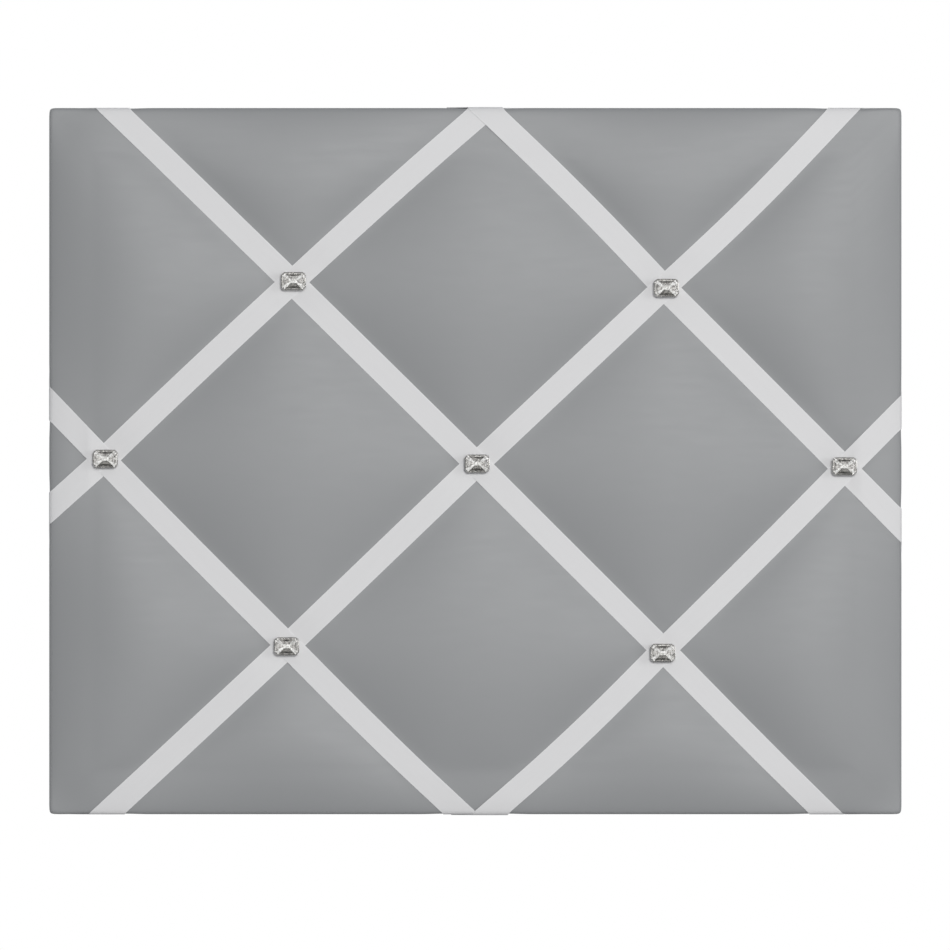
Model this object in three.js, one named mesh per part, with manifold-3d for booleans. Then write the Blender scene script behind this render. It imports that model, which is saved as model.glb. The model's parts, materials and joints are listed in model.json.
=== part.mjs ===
// French memo board: a padded board under smooth cloth, with satin ribbons laid in a criss-cross
// lattice and pinned at their crossings by set stones. Millimetres, +Z up, the front faces -Y.
// The origin is the middle of the back panel's rear face, which lies against a wall.
import * as THREE from 'three';
import { mergeVertices } from 'three/addons/utils/BufferGeometryUtils.js';
import Module from 'manifold-3d';

const wasm = await Module();
wasm.setup();

// Board
const boardWidth = 338.5; // over the cloth
const boardHeight = 280.5; // over the cloth
const boardCornerRadius = 2;
const coreThickness = 8;
const clothThickness = 0.6;
const hemWidth = 24; // cloth turned over the back, from the board's edge
const mitreSlit = 0.8; // gap between two hems at a corner
const mitreStart = 4; // the slit starts this far in from the edge
const panelThickness = 1.5;
const panelInset = 5; // back panel's edge, in from the board's edge
const panelCornerRadius = 3;

// Padding, as heights over the core's front face
const valleyHeight = 1.8; // batting squeezed under a ribbon
const flatBeside = 0.4; // batting stays flat this far past a ribbon's side
const crownRise = 4.5; // how far a diamond's middle swells above that
const stoneDimple = 0.6; // how far a pinned crossing is drawn in
const rollWidth = 16; // the front rolls over to the sides within this width
const sideRise = 1.2; // the cloth's sides are straight up to this height
const rollHeadroom = 0.2; // the roll ends this far above the highest crown

// Ribbon lattice
const ribbonWidth = 9.5;
const ribbonThickness = 0.4;
const sideCrossingInset = 22.25; // left and right crossings, in from the side edges
const endCrossingOverrun = 2.4; // top and bottom crossings, past the end edges
const latticeDrop = 1.5; // the whole lattice is laid a little low
const tailLength = 18; // ribbon on the back, from the board's edge
const tailDrift = 10.5; // how far a ribbon goes on sideways down the board's side, at least

// Stones and their settings
const stoneWidth = 9;
const stoneHeight = 6.3;
const stoneCornerCut = 1;
const stoneGirdle = 0.5;
const stoneCrown = 1.15; // height of the facets over the girdle, and depth under it
const stoneTableInset = 1.6;
const stoneStarInset = 0.85; // points of the star facets, half way along each side
const stoneStarShare = 0.6; // of the crown's height
const stoneBackInset = 1.5; // points of the back's facets, half way along each side
const stoneBackShare = 0.62; // of the back's depth
const stoneKeel = 2.6; // length of the ridge behind
const settingWall = 0.35;
const settingFloor = 0.4;
const clawWidth = 1.3;
const clawReach = 0.85; // how far a claw climbs past the girdle
const clawLean = 0.6; // how far it leans in over the stone
const pinRadius = 0.7;
const pinInCore = 6.5; // how deep a setting's pin goes into the core

// Staples
const stapleSpan = 7.6; // over the legs
const stapleWire = 0.4; // thickness of the flat wire
const stapleWireWidth = 0.9;
const stapleLeg = 5; // leg in the core
const stapleInset = 11; // from the board's edge

// Hangers
const hangerInset = 28; // ring pivot, in from the board's edge
const strapWidth = 9;
const strapSheet = 0.8; // the strap is this sheet folded double round the ring's bar
const strapLength = 10; // from the pivot to the rounded tail
const ringWire = 2; // diameter
const ringHalfWidth = 7; // to the middle of the wire
const ringReach = 18; // from the bar to the middle of the bow
const ringCornerRadius = 2;
const screwSetback = 5.6; // from the pivot
const screwHeadRadius = 2.5;
const screwHeadHeight = 1.4;
const screwShankRadius = 1.1;
const screwInCore = 5.5;

// Clearances
const softGap = 0.3; // between layers that follow a curve
const pierceGap = 0.25; // round a pin, a leg or a shank
const seatGap = 0.3; // stone in its setting
const barGap = 0.25; // ring's bar in the strap's knuckle
const tailGap = 0.08; // least gap between two tails that lie side by side
const knuckleLift = 0.1; // knuckle over the back panel
const overcut = 1; // how far a cut runs past the piece it goes through
const faceMargin = 1; // a ribbon leaves the face this far before its edge rolls over

// Facets
const rollSteps = 3; // an arc or ellipse gets twice as many segments
const hiddenRollSteps = 2; // the roll's layers under the cloth's outer face
const cornerSteps = 1;
const panelCornerSteps = 2;
const strapSteps = 6;
const pinSides = 6;
const ringSteps = 36;
const ringSides = 8;
const screwSides = 12;

// Layers from the wall forwards
const panelFrontY = -panelThickness;
const tailBackY = panelFrontY - stapleWire; // the panel rests on the staple crowns
const hemBackY = tailBackY - ribbonThickness;
const coreBackY = hemBackY - clothThickness;
const coreFrontY = coreBackY - coreThickness;
const coverRise = softGap + clothThickness; // cloth's outer face over the batting
const overLift = ribbonThickness + softGap; // a ribbon that crosses over another
const topRise = valleyHeight + crownRise + coverRise + rollHeadroom;
const rollDepth = topRise - sideRise;

// The lattice: falling ribbons lie at a = -1, 0, 1 and rising ribbons at b = -1, 0, 1
const stepX = (boardWidth / 2 - sideCrossingInset) / 2;
const stepZ = (boardHeight / 2 + endCrossingOverrun) / 2;
const latticeSide = Math.hypot(stepX, stepZ);
const ribbonHalf = ribbonWidth / 2 / latticeSide;
const latticeReach = 2.4;
const ribbonLines = [-1, 0, 1];

// How far the hand-laid ribbons stray from the even lattice at each crossing: a, b, right, up
const strays = [
  [0, 1, 0.7, 1.2],
  [0, 0, 0.5, 0.4],
  [0, -1, 1.2, -2.3],
  [1, 0, 1.4, -0.9],
  [1, -1, -0.5, -1.5],
  [-1, 1, -0.5, 1.9],
  [-1, 0, -0.9, -0.3],
  [1, 1, 4.3, -1.2],
  [-1, -1, -0.3, -1.3],
  [0, 2, 2, 0],
  [2, 0, 0.3, 0],
  [0, -2, -3.8, 0],
  [-2, 0, -3.5, 0],
  [1, -2, 0, -4],
  [-1, 2, 0, 5.9],
  [-2, 1, 0, 8.9],
  [2, -1, 0, 1],
];

// How far a ribbon bows sideways on its way to the next crossing: falling, its line, from, sideways
const bows = [
  [true, 1, 0, 0.9],
  [true, 0, -2, -0.25],
  [true, -1, -1, -0.65],
  [true, -1, 0, -0.2],
  [false, 1, -1, 0.3],
  [false, 1, 0, 0.45],
  [false, 0, 1, -1.45],
  [false, -1, -1, -1.4],
  [false, -1, 0, -0.3],
];

// Each stone sits on a crossing (a, b), a little off its middle: right, up
const stones = [
  { name: 'top_left', a: 0, b: 1, right: 0.7, up: 0.3 },
  { name: 'top_right', a: 1, b: 0, right: 0.8, up: -0.3 },
  { name: 'left', a: -1, b: 1, right: 0.8, up: 0.5 },
  { name: 'centre', a: 0, b: 0, right: 0.2, up: 0.1 },
  { name: 'right', a: 1, b: -1, right: -0.2, up: 0.9 },
  { name: 'bottom_left', a: -1, b: 0, right: -0.4, up: -0.3 },
  { name: 'bottom_right', a: 0, b: -1, right: -0.4, up: -0.9 },
];

// Ribbons: the line they follow, the edges where they start and end, and the lines they cross over
const ribbons = [
  { name: 'long_falling', falling: true, line: 0, start: 'bottom', end: 'top', over: [0] },
  { name: 'right_falling', falling: true, line: 1, start: 'right', end: 'top', over: [1] },
  { name: 'left_falling', falling: true, line: -1, start: 'bottom', end: 'left', over: [1, 0] },
  { name: 'left_rising', falling: false, line: 1, start: 'left', end: 'top', over: [0] },
  { name: 'long_rising', falling: false, line: 0, start: 'bottom', end: 'top', over: [1] },
  { name: 'right_rising', falling: false, line: -1, start: 'bottom', end: 'right', over: [0, 1, -1] },
];

// Board edges: half-size, direction along the edge and outwards
const edges = {
  top: { half: boardHeight / 2, outX: 0, outZ: 1 },
  bottom: { half: boardHeight / 2, outX: 0, outZ: -1 },
  left: { half: boardWidth / 2, outX: -1, outZ: 0 },
  right: { half: boardWidth / 2, outX: 1, outZ: 0 },
};

const finishes = {
  fibreboard: { color: '#8a6a48', roughness: 0.9, metalness: 0 },
  wadding: { color: '#e9e7e2', roughness: 1, metalness: 0 },
  sateen: { color: '#9b9d9c', roughness: 0.7, metalness: 0 },
  satin: { color: '#dcdbd8', roughness: 0.4, metalness: 0 },
  card: { color: '#2b2b2c', roughness: 0.85, metalness: 0 },
  crystal: { color: '#eef0f2', roughness: 0.05, metalness: 0 },
  silver: { color: '#c9c9c8', roughness: 0.2, metalness: 1 },
  steel: { color: '#b4b6b8', roughness: 0.35, metalness: 1 },
};

const board = new THREE.Group();

function addPiece(name, geometry, finish, parent = board) {
  const mesh = new THREE.Mesh(geometry, new THREE.MeshStandardMaterial(finishes[finish]));
  mesh.name = name;
  parent.add(mesh);
}

function signedVolume(geometry) {
  const corners = geometry.attributes.position;
  const index = geometry.index.array;
  const points = [new THREE.Vector3(), new THREE.Vector3(), new THREE.Vector3()];
  let volume = 0;
  for (let i = 0; i < index.length; i += 3) {
    points.forEach((point, k) => point.fromBufferAttribute(corners, index[i + k]));
    volume += points[0].dot(points[1].cross(points[2])) / 6;
  }
  return volume;
}

// Merges shared corners and turns the faces outwards
function closed(geometry) {
  geometry.deleteAttribute('normal');
  geometry.deleteAttribute('uv');
  const merged = mergeVertices(geometry);
  if (signedVolume(merged) < 0) merged.index.array.reverse();
  return merged;
}

function toSolid(geometry) {
  const merged = closed(geometry);
  return new wasm.Manifold(new wasm.Mesh({
    numProp: 3,
    vertProperties: new Float32Array(merged.attributes.position.array),
    triVerts: new Uint32Array(merged.index.array),
  }));
}

function toGeometry(solid) {
  const mesh = solid.getMesh();
  const geometry = new THREE.BufferGeometry();
  geometry.setAttribute('position', new THREE.BufferAttribute(mesh.vertProperties, 3));
  geometry.setIndex(new THREE.BufferAttribute(mesh.triVerts, 1));
  return geometry;
}

// Joins rings of equal length into one skin, closed by a flat cap at each end
function loft(rings) {
  const sides = rings[0].length;
  const positions = rings.flat().flatMap((point) => [point.x, point.y, point.z]);
  const index = [];
  for (let i = 0; i < rings.length - 1; i += 1) {
    for (let j = 0; j < sides; j += 1) {
      const here = i * sides + j;
      const next = i * sides + (j + 1) % sides;
      index.push(here, next, next + sides, here, next + sides, here + sides);
    }
  }
  const last = (rings.length - 1) * sides;
  for (let j = 1; j < sides - 1; j += 1) {
    index.push(0, j + 1, j, last, last + j, last + j + 1);
  }
  const geometry = new THREE.BufferGeometry();
  geometry.setAttribute('position', new THREE.Float32BufferAttribute(positions, 3));
  geometry.setIndex(index);
  return geometry;
}

function roundedRectangle(halfX, halfZ, radius) {
  const shape = new THREE.Shape();
  shape.absarc(halfX - radius, halfZ - radius, radius, 0, Math.PI / 2);
  shape.absarc(radius - halfX, halfZ - radius, radius, Math.PI / 2, Math.PI);
  shape.absarc(radius - halfX, radius - halfZ, radius, Math.PI, Math.PI * 1.5);
  shape.absarc(halfX - radius, radius - halfZ, radius, Math.PI * 1.5, Math.PI * 2);
  return shape;
}

// A plan outline (right, up) extruded forwards from the plane y = backY
function planExtrude(shape, backY, thickness, curveSegments) {
  const options = { depth: thickness, bevelEnabled: false, curveSegments };
  return new THREE.ExtrudeGeometry(shape, options).rotateX(Math.PI / 2).translate(0, backY, 0);
}

function boardOutline(inset, backY, thickness) {
  const radius = boardCornerRadius - inset;
  const shape = roundedRectangle(boardWidth / 2 - inset, boardHeight / 2 - inset, radius);
  return planExtrude(shape, backY, thickness, cornerSteps);
}

// A peg along y
function peg(x, z, radius, fromY, toY) {
  const geometry = new THREE.CylinderGeometry(radius, radius, Math.abs(toY - fromY), pinSides);
  return geometry.translate(x, (fromY + toY) / 2, z);
}

// The hole for a round pin or shank, clear of it all round
function pegHole(x, z, radius, fromY, toY) {
  return toSolid(peg(x, z, (radius + pierceGap) / Math.cos(Math.PI / pinSides), fromY, toY));
}

function block(x0, x1, y0, y1, z0, z1) {
  const geometry = new THREE.BoxGeometry(x1 - x0, y1 - y0, z1 - z0);
  return geometry.translate((x0 + x1) / 2, (y0 + y1) / 2, (z0 + z1) / 2);
}

// Lattice coordinates to the board's face, with the strays and bows of ribbons laid by hand
function latticePoint(a, b) {
  const cellA = Math.min(Math.max(Math.floor(a), -2), 1);
  const cellB = Math.min(Math.max(Math.floor(b), -2), 1);
  const point = new THREE.Vector2(stepX * (a - b), stepZ * (a + b) - latticeDrop);
  for (const [strayA, strayB, right, up] of strays) {
    const besideA = strayA === cellA ? cellA + 1 - a : a - cellA;
    const besideB = strayB === cellB ? cellB + 1 - b : b - cellB;
    const inCell = [cellA, cellA + 1].includes(strayA) && [cellB, cellB + 1].includes(strayB);
    if (inCell) point.add(new THREE.Vector2(right, up).multiplyScalar(besideA * besideB));
  }
  for (const [falling, line, from, sideways] of bows) {
    const [across, along] = falling ? [a, b] : [b, a];
    const share = THREE.MathUtils.clamp(along - from, 0, 1);
    const bow = sideways / latticeSide * Math.sin(share * Math.PI) * near(Math.abs(across - line), 0, 1);
    point.add(new THREE.Vector2(falling ? stepX : -stepX, stepZ).multiplyScalar(bow));
  }
  return point;
}

// Grid lines of the padding: close beside each ribbon, wider across a diamond
const besideRibbon = ribbonHalf + flatBeside / latticeSide;
const dimpleEnd = 0.13;
const crownStart = 0.34;
const gridLines = [-latticeReach, latticeReach];
for (const line of ribbonLines) {
  for (const beside of [besideRibbon, dimpleEnd, crownStart]) gridLines.push(line - beside, line + beside);
}
gridLines.sort((first, second) => first - second);

// 1 within the first distance, falling to 0 at the second
function near(distance, full, none) {
  return THREE.MathUtils.clamp((none - distance) / (none - full), 0, 1);
}

// Swell across a diamond: 0 beside a ribbon, 1 over its crown, eased between them
function swell(line) {
  const distance = Math.min(...ribbonLines.map((ribbonLine) => Math.abs(line - ribbonLine)));
  const flat = near(distance, besideRibbon, crownStart);
  return Math.sin((1 - flat) * Math.PI / 2);
}

function battingHeight(a, b) {
  let dimple = 0;
  for (const stone of stones) {
    const beside = near(Math.abs(a - stone.a), besideRibbon, dimpleEnd);
    dimple += beside * near(Math.abs(b - stone.b), besideRibbon, dimpleEnd);
  }
  return valleyHeight + crownRise * swell(a) * swell(b) - stoneDimple * dimple;
}

// A slab whose front follows the padding, this far above it
function pillow(rise) {
  const steps = gridLines.length - 1;
  const geometry = new THREE.BoxGeometry(1, 1, 1, steps, 1, steps);
  const corners = geometry.attributes.position;
  for (let i = 0; i < corners.count; i += 1) {
    const a = gridLines[Math.round((corners.getX(i) + 0.5) * steps)];
    const b = gridLines[Math.round((corners.getZ(i) + 0.5) * steps)];
    const point = latticePoint(a, b);
    const front = coreFrontY - battingHeight(a, b) - rise;
    corners.setXYZ(i, point.x, corners.getY(i) < 0 ? front : 0, point.y);
  }
  return toSolid(geometry);
}

// Profile across the board (sideways, y) with its two front edges rolled over
function rolledProfile(half, inset) {
  const sideY = coreFrontY - sideRise + inset;
  const shape = new THREE.Shape();
  shape.moveTo(half, 0);
  shape.lineTo(-half, 0);
  shape.absellipse(rollWidth - half, sideY, rollWidth, rollDepth, Math.PI, Math.PI * 1.5);
  shape.absellipse(half - rollWidth, sideY, rollWidth, rollDepth, Math.PI * 1.5, Math.PI * 2);
  return shape;
}

function rolledBar(half, length, inset) {
  const curveSegments = inset === 0 ? rollSteps : hiddenRollSteps;
  const options = { depth: length, bevelEnabled: false, curveSegments };
  return new THREE.ExtrudeGeometry(rolledProfile(half, inset), options).translate(0, 0, -length / 2);
}

// The space in front of backY inside the board's outline and rolled edges, less an inset all round
function envelope(inset, backY) {
  const acrossX = toSolid(rolledBar(boardWidth / 2 - inset, boardHeight, inset));
  const acrossZ = toSolid(rolledBar(boardHeight / 2 - inset, boardWidth, inset).rotateY(Math.PI / 2));
  const outline = toSolid(boardOutline(inset, backY, topRise - coreFrontY));
  return acrossX.intersect(acrossZ).intersect(outline);
}

// Ribbon paths
function ribbonPoint(ribbon, along, aside) {
  const line = ribbon.line + aside;
  return ribbon.falling ? latticePoint(line, along) : latticePoint(along, line);
}

function ribbonBase(ribbon, along) {
  const height = ribbon.falling ? battingHeight(ribbon.line, along) : battingHeight(along, ribbon.line);
  return height + coverRise + softGap;
}

// A crossing at the board's edge keeps the upper ribbon lifted down the board's side
function isEdgeCrossing(ribbon, line) {
  return ribbon.line * line === 1;
}

function ribbonLift(ribbon, along) {
  const lifts = ribbon.over.map((line) => {
    const distance = Math.abs(along - line);
    const atEdge = isEdgeCrossing(ribbon, line);
    return atEdge ? near(distance, dimpleEnd, crownStart) : near(distance, besideRibbon, dimpleEnd);
  });
  return overLift * Math.max(...lifts);
}

function distanceInside(edge, point) {
  return edge.half - point.x * edge.outX - point.y * edge.outZ;
}

// Where a ribbon's side line comes within a distance of the edge: its place along the edge
function placeAlongEdge(ribbon, aside, edge, distance, direction) {
  let inside = 0;
  let outside = latticeReach * direction;
  for (let i = 0; i < 50; i += 1) {
    const middle = (inside + outside) / 2;
    if (distanceInside(edge, ribbonPoint(ribbon, middle, aside)) > distance) inside = middle;
    else outside = middle;
  }
  const point = ribbonPoint(ribbon, inside, aside);
  return edge.outX === 0 ? point.x : point.y;
}

function edgePoint(edge, place, out, y) {
  const reach = edge.half + out;
  return edge.outX === 0
    ? new THREE.Vector3(place, y, reach * edge.outZ)
    : new THREE.Vector3(reach * edge.outX, y, place);
}

// The rolled edge below the ribbon's level, as distances inside the edge and heights
function rollPoints() {
  const level = valleyHeight + coverRise;
  const segments = rollSteps * 2;
  const points = [];
  let before = null;
  for (let i = 0; i <= segments; i += 1) {
    const angle = i / segments * Math.PI / 2;
    const point = { inside: rollWidth * (1 - Math.cos(angle)), height: sideRise + rollDepth * Math.sin(angle) };
    if (point.height >= level) {
      const share = (level - before.height) / (point.height - before.height);
      const inside = before.inside + share * (point.inside - before.inside);
      return [...points, { inside, height: level }];
    }
    points.push(point);
    before = point;
  }
  return points;
}

function middleAtEdge(ribbon, edge, direction) {
  const sides = [-ribbonHalf, ribbonHalf];
  const [first, second] = sides.map((aside) => placeAlongEdge(ribbon, aside, edge, 0, direction));
  return (first + second) / 2;
}

// How far a ribbon goes on sideways to its tail: two that cross at the edge end side by side
function driftToTail(ribbon, edge, direction, heading) {
  if (!isEdgeCrossing(ribbon, direction)) return tailDrift;
  const other = ribbons.find((each) => each.line === ribbon.line && each.falling !== ribbon.falling);
  const between = middleAtEdge(other, edge, direction) - middleAtEdge(ribbon, edge, direction);
  return Math.max(tailDrift, (heading * between + ribbonWidth + tailGap) / 2);
}

// One end of a ribbon, from the face over the rolled edge and down the side to its tail on the back
function ribbonEnd(ribbon, edge, direction) {
  const edgeLine = ribbon.over.find((line) => isEdgeCrossing(ribbon, line));
  const lift = softGap + (edgeLine === direction ? overLift : 0);
  const sides = [-ribbonHalf, ribbonHalf];
  const levels = [lift, lift + ribbonThickness];
  const station = (places, level) => {
    const [lower, upper] = levels.map((rise) => places.map((place) => level(place, rise)));
    return [lower[0], lower[1], upper[1], upper[0]];
  };
  const stations = [];
  const rolls = rollPoints().reverse();
  for (const roll of rolls) {
    const places = sides.map((aside) => placeAlongEdge(ribbon, aside, edge, roll.inside, direction));
    stations.push(station(places, (place, rise) => (
      edgePoint(edge, place, rise - roll.inside, coreFrontY - roll.height - rise)
    )));
  }
  const atEdge = sides.map((aside) => placeAlongEdge(ribbon, aside, edge, 0, direction));
  const before = sides.map((aside) => placeAlongEdge(ribbon, aside, edge, rollWidth, direction));
  const middle = (atEdge[0] + atEdge[1]) / 2;
  const heading = Math.sign(middle - (before[0] + before[1]) / 2);
  const order = Math.sign(atEdge[1] - atEdge[0]);
  const tailMiddle = middle + heading * driftToTail(ribbon, edge, direction, heading);
  const tailPlaces = [-1, 1].map((side) => tailMiddle + side * order * ribbonWidth / 2);
  const tailY = (rise) => hemBackY + rise - lift;
  stations.push(station(tailPlaces, (place, rise) => edgePoint(edge, place, rise, tailY(rise))));
  stations.push(station(tailPlaces, (place, rise) => edgePoint(edge, place, -tailLength, tailY(rise))));
  return { stations, edge, tailMiddle };
}

function ribbonStation(ribbon, along) {
  const lower = ribbonBase(ribbon, along) + ribbonLift(ribbon, along);
  const [first, second] = [-ribbonHalf, ribbonHalf].map((aside) => ribbonPoint(ribbon, along, aside));
  const at = (point, height) => new THREE.Vector3(point.x, coreFrontY - height, point.y);
  const upper = lower + ribbonThickness;
  return [at(first, lower), at(second, lower), at(second, upper), at(first, upper)];
}

// Stations on the face, kept clear of the rolled edges
function ribbonFace(ribbon) {
  const clear = ribbonThickness + rollPoints().at(-1).inside + faceMargin;
  const lines = gridLines.concat(ribbonLines).sort((first, second) => first - second);
  return lines.filter((along) => [-ribbonHalf, ribbonHalf].every((aside) => {
    const point = ribbonPoint(ribbon, along, aside);
    return [ribbon.start, ribbon.end].every((name) => distanceInside(edges[name], point) > clear);
  })).map((along) => ribbonStation(ribbon, along));
}

// Stones on their pins
function cutCornerOutline(grow) {
  const halfX = stoneWidth / 2 + grow;
  const halfZ = stoneHeight / 2 + grow;
  const cut = stoneCornerCut + grow * (2 - Math.SQRT2);
  const shape = new THREE.Shape();
  shape.moveTo(halfX, cut - halfZ);
  shape.lineTo(halfX, halfZ - cut);
  shape.lineTo(halfX - cut, halfZ);
  shape.lineTo(cut - halfX, halfZ);
  shape.lineTo(-halfX, halfZ - cut);
  shape.lineTo(-halfX, cut - halfZ);
  shape.lineTo(cut - halfX, -halfZ);
  shape.lineTo(halfX - cut, -halfZ);
  shape.closePath();
  return shape;
}

const crossingRise = valleyHeight - stoneDimple + coverRise + 2 * overLift;
const settingBackY = coreFrontY - crossingRise - softGap;
const stoneBackY = settingBackY - settingFloor - seatGap;
const girdleY = stoneBackY - stoneCrown;
const pinTipY = coreFrontY + pinInCore;

// The outline's corners, or the middles of its sides, at a distance in from the stone's edge
function stoneRing(inset, y, middles) {
  const corners = cutCornerOutline(-inset).getPoints().slice(0, -1);
  const points = corners.map((corner, i) => (
    middles ? corner.clone().lerp(corners[(i + 1) % corners.length], 0.5) : corner
  ));
  return points.map((point) => [point.x, y, point.y]);
}

// A table, star facets and a girdle in front, and facets that meet in a keel behind
function stoneSolid(x, z) {
  const girdleFrontY = girdleY - stoneGirdle;
  const points = [
    ...stoneRing(stoneTableInset, girdleFrontY - stoneCrown, false),
    ...stoneRing(stoneStarInset, girdleFrontY - stoneCrown * stoneStarShare, true),
    ...stoneRing(0, girdleFrontY, false),
    ...stoneRing(0, girdleY, false),
    ...stoneRing(stoneBackInset, girdleY + stoneCrown * stoneBackShare, true),
    [stoneKeel / 2, stoneBackY, 0],
    [-stoneKeel / 2, stoneBackY, 0],
  ];
  return wasm.Manifold.hull(points).translate([x, 0, z]);
}

// A claw, drawn as outwards from the stone's cut corner and forwards from the girdle
function claw(angle, cornerDistance) {
  const inner = seatGap;
  const outer = seatGap + settingWall;
  const shape = new THREE.Shape();
  shape.moveTo(inner, -stoneGirdle);
  shape.lineTo(outer, -stoneGirdle);
  shape.lineTo(outer, stoneGirdle + settingWall);
  shape.lineTo(outer - clawLean, stoneGirdle + clawReach);
  shape.lineTo(inner - clawLean, stoneGirdle + clawReach);
  shape.lineTo(inner, stoneGirdle);
  shape.closePath();
  const options = { depth: clawWidth, bevelEnabled: false };
  const geometry = new THREE.ExtrudeGeometry(shape, options).translate(cornerDistance, 0, -clawWidth / 2);
  return geometry.rotateX(Math.PI).rotateY(angle);
}

// The setting: a cup round the stone, four claws at its cut corners and a pin behind
function settingSolid(x, z) {
  const cupDepth = settingBackY - girdleY;
  const cup = toSolid(planExtrude(cutCornerOutline(seatGap + settingWall), settingBackY, cupDepth));
  const hollowY = settingBackY - settingFloor;
  const hollow = toSolid(planExtrude(cutCornerOutline(seatGap), hollowY, cupDepth));
  let solid = cup.subtract(hollow);
  const cornerX = (stoneWidth - stoneCornerCut) / 2;
  const cornerZ = (stoneHeight - stoneCornerCut) / 2;
  const cornerDistance = (cornerX + cornerZ) / Math.SQRT2;
  for (const [signX, signZ] of [[1, 1], [-1, 1], [-1, -1], [1, -1]]) {
    const angle = Math.atan2(-signZ, signX);
    const slide = (cornerX - cornerZ) / 2;
    const finger = claw(angle, cornerDistance).translate(signX * slide, girdleY, -signZ * slide);
    solid = solid.add(toSolid(finger));
  }
  const pinHead = settingBackY - settingFloor / 2;
  const pin = toSolid(peg(0, 0, pinRadius, pinHead, pinTipY));
  return solid.add(pin).translate([x, 0, z]);
}

function stonePlace(stone) {
  const crossing = latticePoint(stone.a, stone.b);
  return { x: crossing.x + stone.right, z: crossing.y + stone.up };
}

const pinHoles = stones.map((stone) => {
  const { x, z } = stonePlace(stone);
  return pegHole(x, z, pinRadius, settingBackY, pinTipY + pierceGap);
});

// Staples: a crown along the board's edge and two legs into the core
function stapleBlock(end, place, length, frontY, backY, grow) {
  const middle = edgePoint(end.edge, place, -stapleInset, 0);
  const along = length / 2 + grow;
  const inwards = stapleWireWidth / 2 + grow;
  const [halfX, halfZ] = end.edge.outX === 0 ? [along, inwards] : [inwards, along];
  const sides = [middle.x - halfX, middle.x + halfX, frontY - grow, backY, middle.z - halfZ, middle.z + halfZ];
  return toSolid(block(...sides));
}

function stapleLegs(end, grow) {
  const places = [-1, 1].map((side) => end.tailMiddle + side * (stapleSpan - stapleWire) / 2);
  return places.map((place) => (
    stapleBlock(end, place, stapleWire, coreBackY - stapleLeg, tailBackY, grow)
  ));
}

function stapleSolid(end) {
  const crown = stapleBlock(end, end.tailMiddle, stapleSpan, tailBackY, panelFrontY, 0);
  return stapleLegs(end, 0).reduce((solid, leg) => solid.add(leg), crown);
}

// The cloth's hem is slit once for both legs
function hemSlit(end) {
  return stapleBlock(end, end.tailMiddle, stapleSpan, coreBackY, tailBackY, pierceGap);
}

// Hangers, drawn with the strap along +X, its width along Z and its back on the panel at y = 0
const knuckleRadius = ringWire / 2 + barGap + strapSheet;
const pivotHeight = knuckleRadius + knuckleLift;
const strapThickness = 2 * strapSheet;

function strapSolid() {
  const fold = Math.asin((pivotHeight - strapThickness) / knuckleRadius);
  const shape = new THREE.Shape();
  shape.moveTo(-strapLength, 0);
  shape.lineTo(0, 0);
  shape.absarc(0, pivotHeight, knuckleRadius, -Math.PI / 2, Math.PI + fold);
  shape.lineTo(-strapLength, strapThickness);
  shape.closePath();
  const eye = new THREE.Path();
  eye.absarc(0, pivotHeight, ringWire / 2 + barGap, 0, Math.PI * 2);
  shape.holes.push(eye);
  const options = { depth: strapWidth, bevelEnabled: false, curveSegments: strapSteps };
  const folded = new THREE.ExtrudeGeometry(shape, options).translate(0, 0, -strapWidth / 2);
  const half = strapWidth / 2;
  const plan = new THREE.Shape();
  plan.moveTo(half, half);
  plan.lineTo(half - strapLength, half);
  plan.absarc(half - strapLength, 0, half, Math.PI / 2, Math.PI * 1.5);
  plan.lineTo(half, -half);
  plan.closePath();
  const tall = pivotHeight + knuckleRadius + overcut;
  const outline = planExtrude(plan, tall, tall + overcut, strapSteps);
  const hole = pegHole(-screwSetback, 0, screwShankRadius, -overcut, tall);
  return toSolid(folded).intersect(toSolid(outline)).subtract(hole);
}

function ringGeometry() {
  const bow = ringHalfWidth - ringReach;
  const corner = ringHalfWidth - ringCornerRadius;
  const path = new THREE.Path();
  path.moveTo(0, -corner);
  path.lineTo(0, corner);
  path.absarc(-ringCornerRadius, corner, ringCornerRadius, 0, Math.PI / 2);
  path.absarc(bow, 0, ringHalfWidth, Math.PI / 2, Math.PI * 1.5);
  path.absarc(-ringCornerRadius, -corner, ringCornerRadius, Math.PI * 1.5, Math.PI * 2);
  const points = path.getSpacedPoints(ringSteps).slice(0, -1);
  const curve = new THREE.CatmullRomCurve3(
    points.map((point) => new THREE.Vector3(point.x, pivotHeight, point.y)), true,
  );
  return closed(new THREE.TubeGeometry(curve, ringSteps, ringWire / 2, ringSides, true));
}

function screwGeometry() {
  const seat = strapThickness;
  const tip = coreBackY - screwInCore;
  const profile = [
    [0, tip],
    [screwShankRadius, tip + 2 * screwShankRadius],
    [screwShankRadius, seat],
    [screwHeadRadius, seat],
    [screwHeadRadius, seat + screwHeadHeight / 2],
    [screwHeadRadius * 0.7, seat + screwHeadHeight * 0.9],
    [0, seat + screwHeadHeight],
  ].map(([radius, y]) => new THREE.Vector2(radius, y));
  return closed(new THREE.LatheGeometry(profile, screwSides).translate(-screwSetback, 0, 0));
}

const hangers = [
  { name: 'top', x: 0, z: boardHeight / 2 - hangerInset, turn: -Math.PI / 2 },
  { name: 'side', x: boardWidth / 2 - hangerInset, z: 0, turn: 0 },
];

const screwHoles = hangers.map((hanger) => {
  const x = hanger.x - screwSetback * Math.cos(hanger.turn);
  const z = hanger.z + screwSetback * Math.sin(hanger.turn);
  return pegHole(x, z, screwShankRadius, overcut, coreBackY - screwInCore - pierceGap);
});

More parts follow.
